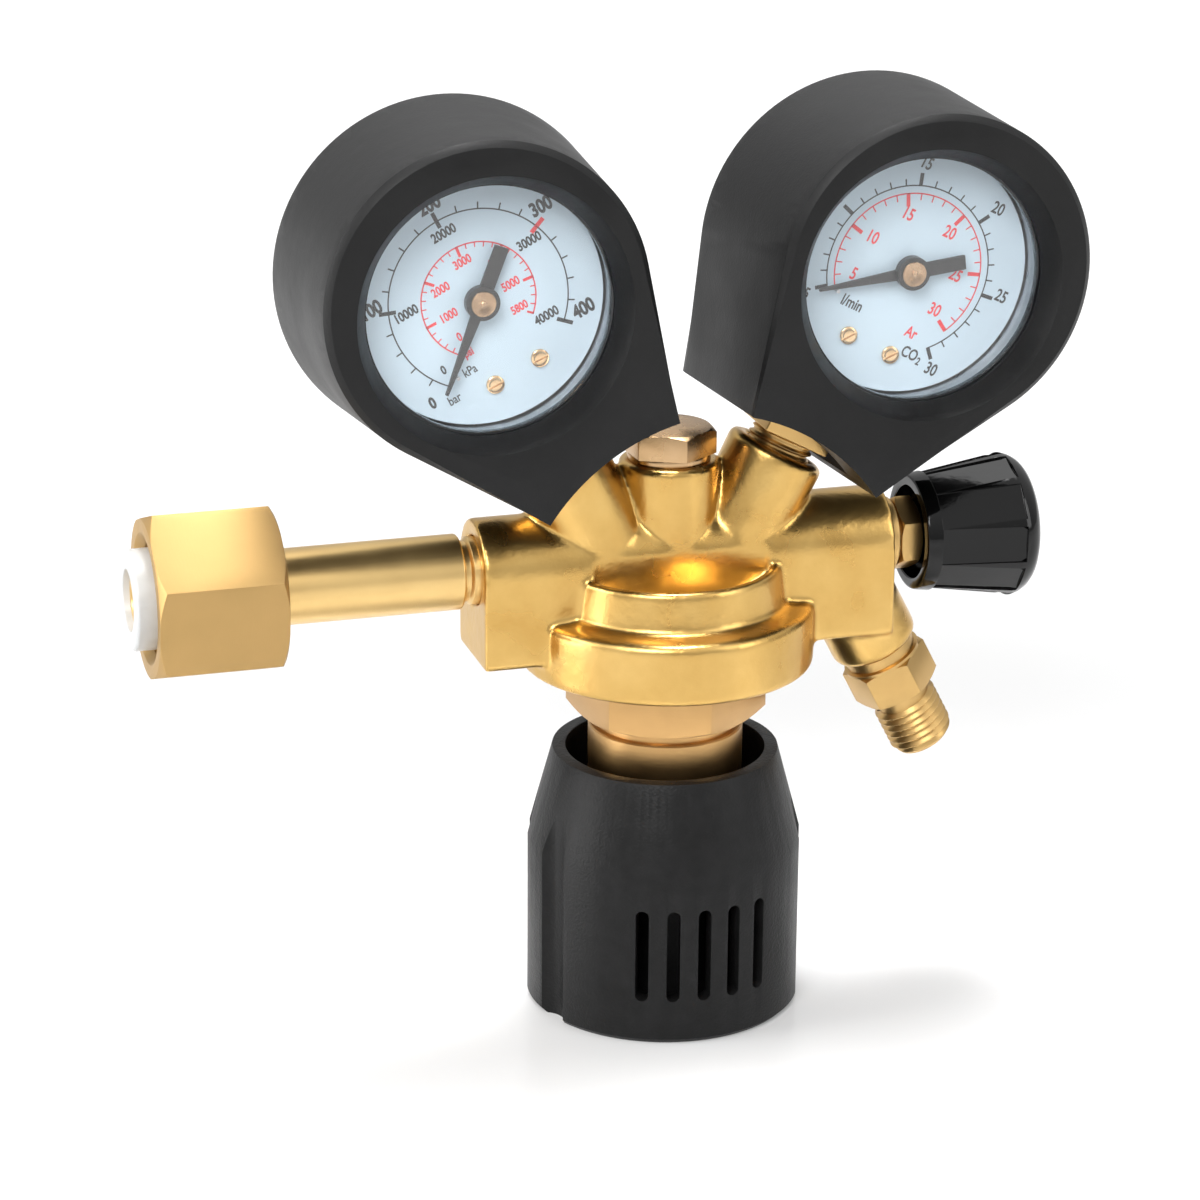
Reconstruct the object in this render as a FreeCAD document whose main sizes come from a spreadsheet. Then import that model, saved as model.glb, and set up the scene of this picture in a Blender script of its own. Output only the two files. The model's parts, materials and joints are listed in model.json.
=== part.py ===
import FreeCAD, Part
import math
import os
import Sketcher

V = FreeCAD.Vector
DEEP = 400.0
HEX_CORNER = 2 / math.sqrt(3)

# Driving sizes, in millimetres and degrees. The origin is the centre of the adjusting knob's base,
# +Z is up, the dials face -Y and the inlet points to -X.
SIZES = {
    # adjusting knob, a hollow cup that the regulator stands on
    "knob_radius": 27.1,
    "knob_shoulder": 34.3,
    "knob_taper": 18.1,
    "knob_rim_radius": 22.2,
    "knob_mouth_radius": 19.65,
    "knob_wall": 3.4,
    "knob_floor": 3.0,
    "knob_edge": 1.0,
    "grip_radius": 4.2,
    "grip_depth": 2.3,
    "grip_angle": 19.0,
    "vent_width": 2.6,
    "vent_height": 19.0,
    "vent_base": 9.0,
    "vent_over": 3.0,
    "vent_angle": 13.0,
    "hub_radius": 9.0,
    "hub_height": 21.7,
    # adjusting screw and spring button
    "screw_radius": 5.0,
    "press_travel": 6.0,
    "press_room": 1.0,
    "screw_sink": 3.6,
    "button_thickness": 3.4,
    "button_nose_radius": 8.4,
    "button_nose": 3.0,
    "slip_gap": 0.3,
    "running_gap": 0.1,
    "seat_gap": 0.05,
    # bonnet
    "barrel_radius": 15.2,
    "barrel_length": 36.1,
    "bonnet_bore": 12.6,
    "bonnet_nose": 7.5,
    "relief_depth": 1.2,
    "relief_width": 2.0,
    "bonnet_hex": 34.0,
    "bonnet_hex_height": 10.5,
    "bonnet_angle": -17.0,
    "bonnet_flange_radius": 24.9,
    "plate_pocket_radius": 15.6,
    "plate_pocket": 2.7,
    # body drum
    "drum_height": 12.1,
    "drum_radius": 28.7,
    "step_radius": 22.2,
    "step_height": 8.4,
    "lip_width": 1.9,
    "trough_depth": 5.5,
    "trough_inner": 8.6,
    "trough_outer": 14.6,
    "trough_round": 3.4,
    "trough_wall": 9.4,
    "chamber_radius": 21.0,
    "chamber_rise": 2.7,
    "seat_rise": 7.7,
    "cast_round": 1.6,
    # body arms
    "pipe_rise": 21.4,
    "arm_half_width": 10.0,
    "arm_drop": 17.6,
    "arm_left": 39.1,
    "arm_right": 43.5,
    # centre boss and hex plug
    "boss_radius": 9.8,
    "boss_foot_radius": 9.2,
    "boss_rise": 19.5,
    "chamber_bore": 6.5,
    "chamber_web": 5.0,
    "gasket_radius": 8.1,
    "gasket_thickness": 1.3,
    "plug_hex": 16.0,
    "plug_hex_height": 4.9,
    "plug_shank": 8.5,
    "plug_angle": 34.3,
    "plug_wall": 2.0,
    # valve seat, poppet and springs
    "seat_flange_radius": 5.6,
    "seat_flange": 1.5,
    "seat_shank_radius": 3.9,
    "orifice_radius": 1.4,
    "poppet_radius": 5.6,
    "poppet_height": 6.0,
    "poppet_pin": 1.0,
    "poppet_top_radius": 2.6,
    "valve_wire": 0.5,
    "valve_coil": 3.8,
    "main_wire": 1.3,
    "main_coil": 10.2,
    "diaphragm_radius": 24.4,
    "diaphragm_thickness": 0.8,
    "slip_ring": 0.3,
    "plate_radius": 14.0,
    "plate_thickness": 1.6,
    "rivet_radius": 4.0,
    "rivet_stem": 2.0,
    "rivet_head": 0.8,
    # inlet
    "port_thread": 6.58,
    "port_depth": 11.0,
    "pipe_radius": 7.3,
    "pipe_bore": 4.3,
    "pipe_step": 2.9,
    "pipe_length": 43.5,
    "collar_radius": 10.2,
    "collar_width": 8.3,
    "nose_radius": 5.8,
    "nose_length": 10.4,
    "seal_length": 11.7,
    "seal_radius": 9.6,
    "filter_depth": 4.0,
    "filter_length": 10.0,
    "nut_flats": 30.0,
    "nut_mouth": 17.0,
    "nut_back": 7.4,
    "nut_thread": 10.9,
    "nut_angle": 9.0,
    "passage_radius": 2.5,
    "right_way_start": 12.0,
    "down_way_place": 15.5,
    # outlet valve on the right arm
    "valve_bore": 6.45,
    "valve_bore_depth": 15.9,
    "ring_radius": 7.4,
    "ring_width": 2.1,
    "valve_neck": 5.8,
    "valve_hex": 13.0,
    "valve_neck_length": 0.5,
    "valve_hex_height": 4.4,
    "valve_shank": 10.0,
    "spindle_radius": 2.5,
    "spindle_nose": 2.9,
    "pad_radius": 4.6,
    "pad_thickness": 2.2,
    "packing_radius": 4.0,
    "packing_depth": 3.5,
    "packing_length": 2.2,
    "handle_lap": 0.8,
    "handle_length": 24.0,
    "handle_cap": 10.0,
    "handle_small": 11.4,
    "handle_large": 15.0,
    "handle_round": 5.0,
    "handle_recess": 4.0,
    "handle_hub": 5.2,
    "handle_wall": 2.2,
    "flute_count": 10,
    "flute_depth": 0.8,
    "flute_start": 2.8,
    "flute_end": 4.2,
    "flute_radius": 14.0,
    # outlet connection, tilted towards the right
    "outlet_place": 31.8,
    "outlet_tilt": 27.5,
    "outlet_boss_radius": 8.8,
    "outlet_boss_start": 4.0,
    "outlet_boss_end": 25.8,
    "outlet_bore": 6.0,
    "outlet_bore_depth": 9.0,
    "outlet_neck_radius": 7.2,
    "outlet_hex": 16.0,
    "outlet_hex_angle": 11.0,
    "outlet_gap": 2.9,
    "outlet_hex_height": 7.6,
    "outlet_thread": 6.578,
    "outlet_relief": 1.8,
    "outlet_relief_radius": 5.8,
    "outlet_thread_length": 12.3,
    "outlet_orifice": 2.6,
    # gauge ports
    "gauge_tilt": 27.5,
    "gauge_neck": 5.0,
    "gauge_drop": 22.775,
    "gauge_boss_start": 22.0,
    "gauge_way_start": 26.0,
    "gauge_way_radius": 1.5,
    "gauge_boss_end": 47.9,
    "gauge_thread_depth": 7.9,
    "gauge_forward": 14.8,
    "gauge_washer": 1.4,
    # gauges, about the centre of each dial's face
    "case_radius": 25.1,
    "case_back": 22.9,
    "case_front": 6.0,
    "case_wall": 0.9,
    "bezel_front": 8.4,
    "bezel_width": 2.1,
    "window_back": 5.0,
    "window_thickness": 1.8,
    "dial_gap": 0.5,
    "dial_thickness": 0.5,
    "dial_screw_radius": 1.7,
    "dial_screw_side": 4.8,
    "dial_screw_drop": 15.9,
    "stop_radius": 0.35,
    "stop_height": 2.2,
    "stop_distance": 14.8,
    "stop_angle": 3.6,
    "zero_left_angle": 131.5,
    "zero_right_angle": 124.4,
    "socket_width": 14.0,
    "socket_drop": 12.5,
    "socket_lap": 2.0,
    "socket_bore": 1.8,
    "tube_inset": 8.1,
    "tube_half_width": 4.0,
    "tube_half_depth": 1.4,
    "tube_back": 15.5,
    "tube_gap": 0.32,
    "tube_sweep_angle": 250.0,
    "movement_width": 16.0,
    "movement_depth": 11.0,
    "movement_plate": 1.2,
    "movement_front": 2.0,
    "movement_post": 1.3,
    "arbor_radius": 0.9,
    "arbor_back": 11.0,
    "arbor_front": 4.1,
    "arbor_cap": 2.4,
    "pointer_back": 1.6,
    "pointer_thickness": 0.7,
    "pointer_hub": 3.2,
    "pointer_hub_height": 1.8,
    "pointer_inset": 5.3,
    "pointer_tail": 10.8,
    "pointer_tail_width": 2.7,
    # rubber boots round the gauges
    "boot_back_over": 8.0,
    "boot_front_over": 5.4,
    "boot_front_rise": 2.2,
    "boot_front": 13.9,
    "boot_back": 25.0,
    "boot_back_wall": 2.0,
    "boot_angle": 8.0,
    "boot_back_drop": 2.9,
    "boot_front_drop": 0.9,
    "boot_mouth_side": 8.2,
    "boot_mouth_arc": 42.0,
    "boot_mouth_wall": 1.7,
    "boot_window_gap": 0.4,
    "boot_bevel_width": 2.5,
    "boot_bevel": 4.6,
    "boot_back_lip": 6.1,
    "boot_edge": 1.2,
}


class Size:
    # A length that carries its number and the sheet expression behind it
    def __init__(self, number, text):
        self.number = number
        self.text = text

    def __add__(self, other):
        other = as_size(other)
        return Size(self.number + other.number, f"({self.text} + {other.text})")

    def __radd__(self, other):
        return as_size(other) + self

    def __sub__(self, other):
        other = as_size(other)
        return Size(self.number - other.number, f"({self.text} - {other.text})")

    def __rsub__(self, other):
        return as_size(other) - self

    def __mul__(self, other):
        other = as_size(other)
        return Size(self.number * other.number, f"({self.text} * {other.text})")

    def __rmul__(self, other):
        return as_size(other) * self

    def __truediv__(self, other):
        other = as_size(other)
        return Size(self.number / other.number, f"({self.text} / {other.text})")

    def __neg__(self):
        return Size(-self.number, f"(0 - {self.text})")

    def __float__(self):
        return float(self.number)


def as_size(value):
    if isinstance(value, Size):
        return value
    return Size(float(value), f"({float(value)!r})")


class Sheet:
    # Reads the spreadsheet's named cells as sizes
    def __init__(self, cells):
        self.cells = cells

    def __getattr__(self, name):
        return Size(float(self.cells.get(name)), f"Sizes.{name}")


doc = FreeCAD.newDocument("ArgonRegulator")
cells = doc.addObject("Spreadsheet::Sheet", "Sizes")
for row, (alias, number) in enumerate(SIZES.items(), start=1):
    cells.set(f"A{row}", alias)
    cells.set(f"B{row}", str(number))
    cells.setAlias(f"B{row}", alias)
doc.recompute()
s = Sheet(cells)
pieces = []

# Places that follow from the sizes, from the knob up
s.knob_rim_height = s.knob_shoulder + s.knob_taper
s.barrel_base = s.hub_height + s.slip_gap
s.bonnet_inner_base = s.barrel_base + s.bonnet_nose
s.button_base = s.bonnet_inner_base + s.press_room + s.press_travel
s.screw_top = s.button_base - s.slip_gap
s.button_top = s.button_base + s.button_thickness
s.barrel_top = s.barrel_base + s.barrel_length
s.hex_base = s.barrel_top + s.relief_width
s.drum_base = s.hex_base + s.bonnet_hex_height
s.drum_top = s.drum_base + s.drum_height
s.step_top = s.drum_top + s.step_height
s.trough_floor = s.step_top - s.trough_depth
s.diaphragm_seat = s.drum_base + s.seat_rise
s.plate_top = s.diaphragm_seat - s.diaphragm_thickness
s.plate_base = s.plate_top - s.plate_thickness
s.flange_top = s.plate_top - s.slip_ring
s.chamber_top = s.diaphragm_seat + s.chamber_rise
s.chamber_floor = s.chamber_top + s.chamber_web
s.seat_top = s.chamber_floor + s.seat_flange
s.poppet_base = s.seat_top + s.slip_gap
s.pipe_height = s.drum_base + s.pipe_rise
s.arm_base = s.pipe_height - s.arm_drop
s.boss_top = s.pipe_height + s.boss_rise
s.plug_seat = s.boss_top + s.gasket_thickness

# Along the inlet, measured towards the left
s.pipe_shoulder = s.arm_left + s.pipe_step
s.collar_right = s.pipe_shoulder + s.pipe_length
s.collar_left = s.collar_right + s.collar_width
s.nose_left = s.collar_left + s.nose_length
s.seal_left = s.collar_left + s.seal_length
s.nut_shoulder = s.collar_right - s.slip_gap
s.nut_left = s.nut_shoulder + s.nut_mouth
s.nut_right = s.nut_shoulder - s.nut_back

# Along the outlet valve, measured towards the right
s.valve_bore_left = s.arm_right - s.valve_bore_depth
s.valve_shank_left = s.arm_right - s.valve_shank
s.packing_left = s.valve_shank_left + s.packing_depth
s.spindle_left = s.valve_shank_left - s.spindle_nose
s.valve_hex_left = s.arm_right + s.ring_width + s.valve_neck_length
s.valve_hex_right = s.valve_hex_left + s.valve_hex_height
s.handle_left = s.valve_hex_right - s.handle_lap
s.handle_right = s.handle_left + s.handle_length
s.spindle_right = s.handle_right - s.handle_cap

# Along the outlet and each gauge port, measured from where its axis starts
s.outlet_hex_start = s.outlet_boss_end + s.outlet_gap
s.outlet_hex_end = s.outlet_hex_start + s.outlet_hex_height
s.outlet_end = s.outlet_hex_end + s.outlet_thread_length
s.socket_base = s.case_radius + s.socket_drop
s.gauge_thread_end = s.gauge_boss_end - s.gauge_thread_depth
s.gauge_reach = s.gauge_boss_end + s.gauge_neck + s.socket_base

# Round each dial, from the case inwards and outwards
s.dial_radius = s.case_radius - s.case_wall - s.dial_gap
s.bezel_inner = s.case_radius - s.bezel_width
s.tube_coil = s.case_radius - s.tube_inset
s.socket_top = s.tube_coil - s.socket_lap
s.pointer_reach = s.dial_radius - s.pointer_inset
s.boot_back_radius = s.case_radius + s.boot_back_over
s.boot_front_radius = s.case_radius + s.boot_front_over
s.boot_back_mouth = s.socket_base + s.boot_back_drop
s.boot_front_mouth = s.socket_base + s.boot_front_drop
s.boot_mouth_half = s.socket_width / 2 + s.boot_mouth_side
s.boot_window = s.bezel_inner + s.boot_window_gap
s.boot_bevel_radius = s.boot_window + s.boot_bevel_width
s.boot_back_opening = s.case_radius - s.boot_back_lip


def bind(thing, name, value):
    value = as_size(value)
    setattr(thing, name, value.number)
    thing.setExpression(name, value.text)


def place(thing, at=(0, 0, 0), turn=None):
    turn = turn or FreeCAD.Rotation()
    thing.Placement = FreeCAD.Placement(V(*(float(as_size(x)) for x in at)), turn)
    for axis, value in zip("xyz", at):
        if isinstance(value, Size):
            thing.setExpression(f"Placement.Base.{axis}", value.text)
    return thing


def about(axis, angle):
    return FreeCAD.Rotation(V(*axis), float(as_size(angle)))


ALONG_X = about((0, 1, 0), 90)


def piece(label, thing, at=(0, 0, 0), turn=None):
    thing.Label = label
    place(thing, at, turn)
    pieces.append(thing)
    return thing


def cylinder(radius, height, at=(0, 0, 0), turn=None):
    thing = doc.addObject("Part::Cylinder", "Round")
    bind(thing, "Radius", radius)
    bind(thing, "Height", height)
    return place(thing, at, turn)


def cone(radius, far_radius, height, at=(0, 0, 0), turn=None):
    thing = doc.addObject("Part::Cone", "Taper")
    bind(thing, "Radius1", radius)
    bind(thing, "Radius2", far_radius)
    bind(thing, "Height", height)
    return place(thing, at, turn)


def box(length, width, height, at=(0, 0, 0), turn=None):
    thing = doc.addObject("Part::Box", "Block")
    bind(thing, "Length", length)
    bind(thing, "Width", width)
    bind(thing, "Height", height)
    return place(thing, at, turn)


def hexagon(flats, height, at=(0, 0, 0), turn=None):
    thing = doc.addObject("Part::Prism", "Hexagon")
    thing.Polygon = 6
    bind(thing, "Circumradius", flats * (HEX_CORNER / 2))
    bind(thing, "Height", height)
    return place(thing, at, turn)


def fuse(*shapes):
    thing = doc.addObject("Part::MultiFuse", "Joined")
    thing.Shapes = list(shapes)
    thing.Refine = True
    return thing


def cut(base, *tools):
    thing = doc.addObject("Part::Cut", "Cut")
    thing.Base = base
    thing.Tool = tools[0] if len(tools) == 1 else fuse(*tools)
    return thing


def common(one, other):
    thing = doc.addObject("Part::Common", "Shared")
    thing.Base = one
    thing.Tool = other
    return thing


def origin_plane(body, role):
    return next(f for f in body.Origin.OriginFeatures if f.Role == role)


def new_sketch(body, role):
    sketch = body.newObject("Sketcher::SketchObject", "Outline")
    sketch.AttachmentSupport = [(origin_plane(body, role), "")]
    sketch.MapMode = "FlatFace"
    return sketch


class Rules:
    # Collects a sketch's constraints, so that they are all solved together from exact geometry
    def __init__(self, sketch):
        self.sketch = sketch
        self.made = []
        self.texts = {}

    def add(self, *parts, text=None):
        if text:
            self.texts[len(self.made)] = text
        self.made.append(Sketcher.Constraint(*parts))

    def fix(self, index, where, x, y):
        # Ties a point to the origin by two lengths, or to an axis where a length is zero
        for kind, value, axis in (("DistanceX", x, -2), ("DistanceY", y, -1)):
            value = as_size(value)
            if value.number == 0:
                self.add("PointOnObject", index, where, axis)
            else:
                self.add(kind, -1, 1, index, where, value.number, text=value.text)

    def radius(self, index, value):
        self.add("Radius", index, value.number, text=value.text)

    def apply(self):
        self.sketch.addConstraint(self.made)
        for number, text in self.texts.items():
            self.sketch.setExpression(f"Constraints[{number}]", text)


def rising_arc(centre, start, end):
    # An arc about its centre that runs anticlockwise from start to end
    circle = Part.Circle(centre, V(0, 0, 1), (start - centre).Length)
    first = math.atan2(start.y - centre.y, start.x - centre.x)
    last = math.atan2(end.y - centre.y, end.x - centre.x)
    return Part.ArcOfCircle(circle, first, last if last > first else last + 2 * math.pi)


def outline(sketch, corners):
    # A closed outline of straight runs. A corner is (x, y) or (x, y, radius of its round).
    spots = [V(float(as_size(c[0])), float(as_size(c[1])), 0) for c in corners]
    rounds = [as_size(c[2]) if len(c) > 2 else None for c in corners]
    count = len(spots)
    leads = []
    for i in range(count):
        back = (spots[i - 1] - spots[i]).normalize()
        ahead = (spots[(i + 1) % count] - spots[i]).normalize()
        half = back.getAngle(ahead) / 2
        leads.append(rounds[i].number / math.tan(half) if rounds[i] else 0.0)
    ends = []
    for i in range(count):
        far = (i + 1) % count
        along = (spots[far] - spots[i]).normalize()
        ends.append((spots[i] + along * leads[i], spots[far] - along * leads[far]))
    lines = [sketch.addGeometry(Part.LineSegment(*pair), False) for pair in ends]
    rules = Rules(sketch)
    for i, corner in enumerate(corners):
        before, after = lines[i - 1], lines[i]
        if not rounds[i]:
            rules.add("Coincident", before, 2, after, 1)
            rules.fix(after, 1, corner[0], corner[1])
            continue
        start, end = ends[i - 1][1], ends[i][0]
        inward = ((start + end) / 2 - spots[i]).normalize()
        offset = math.hypot(leads[i], rounds[i].number)
        centre = spots[i] + inward * offset
        left_turn = (spots[i] - start).cross(end - spots[i]).z > 0
        first, last = (1, 2) if left_turn else (2, 1)
        arc = rising_arc(centre, start, end) if left_turn else rising_arc(centre, end, start)
        curve = sketch.addGeometry(arc, False)
        spot = sketch.addGeometry(Part.Point(spots[i]), True)
        rules.fix(spot, 1, corner[0], corner[1])
        rules.add("PointOnObject", spot, 1, before)
        rules.add("PointOnObject", spot, 1, after)
        rules.add("Tangent", before, 2, curve, first)
        rules.add("Tangent", curve, last, after, 1)
        rules.radius(curve, rounds[i])
    rules.apply()


def turned(corners, sweep=None):
    # A solid of revolution about Z from a closed outline of (radius, height) corners
    body = doc.addObject("PartDesign::Body", "Turned")
    sketch = new_sketch(body, "XZ_Plane")
    outline(sketch, corners)
    made = body.newObject("PartDesign::Revolution", "Revolved")
    made.Profile = sketch
    made.ReferenceAxis = (sketch, ["V_Axis"])
    bind(made, "Angle", sweep or 360)
    return body


def extruded(corners, length, role="XY_Plane"):
    body = doc.addObject("PartDesign::Body", "Extruded")
    sketch = new_sketch(body, role)
    outline(sketch, corners)
    made = body.newObject("PartDesign::Pad", "Padded")
    made.Profile = sketch
    bind(made, "Length", length)
    return body


def chamfered_hex(flats, low, high, low_bevel, high_bevel, turn=None):
    # A hexagon along Z with its corners turned down at one or both ends
    corner = flats * (HEX_CORNER / 2)
    trim = turned([
        (0, low), (corner - low_bevel * 1.7, low), (corner, low + low_bevel),
        (corner, high - high_bevel), (corner - high_bevel * 1.7, high), (0, high),
    ])
    return common(hexagon(flats, high - low, (0, 0, low), turn), trim)


def coil(mean_radius, wire, low, high, turns):
    # A round-wire spring between two heights, with its wire's centre line inset by the wire
    spine = doc.addObject("Part::Helix", "Helix")
    bind(spine, "Radius", mean_radius)
    bind(spine, "Height", high - low - 2 * wire)
    bind(spine, "Pitch", (high - low - 2 * wire) / turns)
    place(spine, (0, 0, low + wire))
    ring = doc.addObject("Part::RegularPolygon", "WireSection")
    ring.Polygon = 8
    bind(ring, "Circumradius", wire)
    place(ring, (mean_radius, 0, low + wire), about((1, 0, 0), 90))
    thing = doc.addObject("Part::Sweep", "Coil")
    thing.Sections = [ring]
    thing.Spine = (spine, [])
    thing.Solid = True
    thing.Frenet = True
    return thing


# Tilted frames: gauge axes meet the centre line at tilt_root, dials stand in front of it
tilt = math.radians(float(s.gauge_tilt))
gauge_side = s.gauge_reach * math.sin(tilt)
gauge_rise = s.gauge_reach * math.cos(tilt)
tilt_root = s.pipe_height - s.gauge_drop
dial_height = tilt_root + gauge_rise
outlet_turn = about((0, 1, 0), 180 - float(s.outlet_tilt))
outlet_at = (s.outlet_place, 0, s.pipe_height)


def gauge_axis(sign):
    # Local Z runs out along the gauge port
    return about((0, 1, 0), sign * s.gauge_tilt)


def gauge_face(sign, extra=0):
    # Local Z looks out of the dial, local Y runs up along the gauge
    angle = sign * (s.gauge_tilt + extra)
    return about((0, 1, 0), angle).multiply(about((1, 0, 0), 90))


# Forged body

def body_outer():
    edge = s.cast_round
    drum = turned([
        (0, s.drum_base), (s.drum_radius, s.drum_base, edge * 0.5),
        (s.drum_radius, s.drum_top, edge), (s.step_radius + 0.9, s.drum_top + 0.5, edge * 0.7),
        (s.step_radius, s.step_top, 0.8), (s.step_radius - s.lip_width, s.step_top, 0.8),
        (s.step_radius - s.lip_width - 1.6, s.step_top - 2.4), (0, s.step_top - 2.4),
    ])
    half = s.arm_half_width
    arm = doc.addObject("PartDesign::Body", "Arm")
    sketch = new_sketch(arm, "YZ_Plane")
    outline(sketch, [
        (-half, s.arm_base, 0.8), (half, s.arm_base, 0.8), (half, s.pipe_height), (-half, s.pipe_height),
    ])
    made = arm.newObject("PartDesign::Pad", "Padded")
    made.Profile = sketch
    bind(made, "Length", s.arm_left + s.arm_right)
    place(arm, (-s.arm_left, 0, 0))
    dome = cylinder(half, s.arm_left + s.arm_right, (-s.arm_left, 0, s.pipe_height), ALONG_X)
    centre = turned([
        (0, s.pipe_height), (s.boss_foot_radius, s.pipe_height),
        (s.boss_radius, s.boss_top, 1.0), (0, s.boss_top),
    ])
    shapes = [drum, arm, dome, centre]
    for sign in (-1, 1):
        port = turned([
            (0, s.gauge_boss_start), (s.boss_foot_radius, s.gauge_boss_start),
            (s.boss_radius, s.gauge_boss_end, 1.4), (0, s.gauge_boss_end),
        ])
        shapes.append(place(port, (0, 0, tilt_root), gauge_axis(sign)))
    outlet = turned([
        (0, s.outlet_boss_start), (s.outlet_boss_radius, s.outlet_boss_start),
        (s.outlet_boss_radius, s.outlet_boss_end, 1.5),
        (0, s.outlet_boss_end),
    ])
    shapes.append(place(outlet, outlet_at, outlet_turn))
    return fuse(*shapes)


def trough():
    # The dished recess behind the step's lip, in front of and behind the arms
    lip = s.step_radius - s.lip_width
    rise = s.step_top + 4
    bowl = turned([
        (s.trough_inner, s.trough_floor, 2.0), (s.trough_outer, s.trough_floor, s.trough_round),
        (lip, s.step_top - 1.4), (lip, rise), (s.trough_inner, rise),
    ])
    front = box(2 * DEEP, DEEP, DEEP, (-DEEP, -DEEP - s.trough_wall, 0))
    back = box(2 * DEEP, DEEP, DEEP, (-DEEP, s.trough_wall, 0))
    return common(bowl, fuse(front, back))


def body():
    wide = s.bonnet_flange_radius + s.seat_gap
    inside = turned([
        (0, s.drum_base - 1), (wide, s.drum_base - 1), (wide, s.diaphragm_seat),
        (s.chamber_radius, s.diaphragm_seat), (s.chamber_radius, s.chamber_top, 1.5), (0, s.chamber_top),
    ])
    seat_hole = cylinder(s.seat_shank_radius + s.seat_gap, s.chamber_floor - s.chamber_top + 2,
                         (0, 0, s.chamber_top - 1))
    valve_hole = cylinder(s.chamber_bore, DEEP, (0, 0, s.chamber_floor))
    port = s.port_thread + s.seat_gap
    left_hole = cylinder(port, DEEP, (-s.arm_left + s.port_depth - DEEP, 0, s.pipe_height), ALONG_X)
    left_way = cylinder(s.passage_radius, s.arm_left, (-s.arm_left, 0, s.pipe_height), ALONG_X)
    right_hole = cylinder(s.valve_bore, DEEP, (s.valve_bore_left, 0, s.pipe_height), ALONG_X)
    right_way = cylinder(s.passage_radius, s.valve_bore_left - s.right_way_start + 1,
                         (s.right_way_start, 0, s.pipe_height), ALONG_X)
    down_way = cylinder(s.passage_radius, s.pipe_height - s.chamber_top + 1,
                        (s.down_way_place, 0, s.chamber_top - 1))
    outlet_hole = place(cylinder_from(s.outlet_bore + s.seat_gap, s.outlet_boss_end - s.outlet_bore_depth),
                        outlet_at, outlet_turn)
    outlet_way = cylinder(s.passage_radius, s.outlet_boss_end, outlet_at, outlet_turn)
    ring_face = cylinder(s.ring_radius + s.seat_gap, DEEP, (s.arm_right, 0, s.pipe_height), ALONG_X)
    holes = [inside, seat_hole, valve_hole, left_hole, left_way, right_hole, right_way, ring_face, down_way,
             outlet_hole, outlet_way]
    for sign in (-1, 1):
        deep = place(cylinder_from(port, s.gauge_thread_end - s.gauge_washer), (0, 0, tilt_root),
                     gauge_axis(sign))
        way = cylinder_from(s.gauge_way_radius, s.gauge_way_start, s.gauge_thread_end - s.gauge_way_start)
        way = place(way, (0, 0, tilt_root), gauge_axis(sign))
        holes += [deep, way]
    return piece("body", cut(body_outer(), trough(), *holes))


def cylinder_from(radius, start, length=DEEP):
    # A round tool that starts some way along its own axis
    start = as_size(start)
    return turned([(0, start), (radius, start), (radius, start + length), (0, start + length)])


# Inlet side

def inlet():
    bore = s.pipe_bore
    pipe = turned([
        (bore, -s.nose_left), (s.nose_radius, -s.nose_left, 0.4),
        (s.nose_radius, -s.collar_left), (s.collar_radius, -s.collar_left, 0.6),
        (s.collar_radius, -s.collar_right), (s.pipe_radius, -s.collar_right),
        (s.pipe_radius, -s.pipe_shoulder, 0.5), (s.port_thread - 0.7, -s.pipe_shoulder),
        (s.port_thread - 0.7, -s.arm_left - 1.6), (s.port_thread, -s.arm_left - 1.1),
        (s.port_thread, -s.arm_left + s.port_depth - 0.2), (bore, -s.arm_left + s.port_depth - 0.2),
    ])
    piece("inlet_nipple", pipe, (0, 0, s.pipe_height), ALONG_X)
    ring = turned([
        (s.nose_radius + s.seat_gap, -s.seal_left), (s.seal_radius, -s.seal_left, 0.8),
        (s.seal_radius, -s.collar_left), (s.nose_radius + s.seat_gap, -s.collar_left),
    ])
    piece("inlet_seal", ring, (0, 0, s.pipe_height), ALONG_X)
    start = -s.nose_left + s.filter_depth
    cup = turned([
        (0, start), (bore - s.seat_gap, start), (bore - s.seat_gap, start + s.filter_length),
        (bore - 1.4, start + s.filter_length), (bore - 1.4, start + 1.4), (0, start + 1.4),
    ])
    piece("inlet_filter", cup, (0, 0, s.pipe_height), ALONG_X)


def union_nut():
    outer = chamfered_hex(s.nut_flats, -s.nut_left, -s.nut_right, 1.3, 1.3)
    inner = turned([
        (0, -s.nut_left - 1), (s.nut_thread + 1.6, -s.nut_left - 1), (s.nut_thread + 1.6, -s.nut_left),
        (s.nut_thread, -s.nut_left + 1.6), (s.nut_thread, -s.nut_shoulder),
        (s.pipe_radius + s.running_gap, -s.nut_shoulder),
        (s.pipe_radius + s.running_gap, -s.nut_right - 0.8),
        (s.pipe_radius + 0.9, -s.nut_right), (s.pipe_radius + 0.9, -s.nut_right + 1), (0, -s.nut_right + 1),
    ])
    turn = ALONG_X.multiply(about((0, 0, 1), s.nut_angle))
    return piece("union_nut", cut(outer, inner), (0, 0, s.pipe_height), turn)


# Centre valve under the hex plug

def plug():
    thick = s.gasket_thickness
    ring = turned([
        (s.chamber_bore, s.boss_top), (s.gasket_radius, s.boss_top),
        (s.gasket_radius, s.boss_top + thick), (s.chamber_bore, s.boss_top + thick),
    ])
    piece("plug_gasket", ring)
    head = chamfered_hex(s.plug_hex, s.plug_seat, s.plug_seat + s.plug_hex_height, 0.01, 0.7)
    shank = cylinder(s.chamber_bore - s.seat_gap, s.plug_shank + 1, (0, 0, s.plug_seat - s.plug_shank))
    pocket = cylinder(s.valve_coil + s.valve_wire + s.slip_gap, s.plug_shank - s.plug_wall,
                      (0, 0, s.plug_seat - s.plug_shank))
    piece("valve_plug", cut(fuse(head, shank), pocket), turn=about((0, 0, 1), s.plug_angle))


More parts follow.
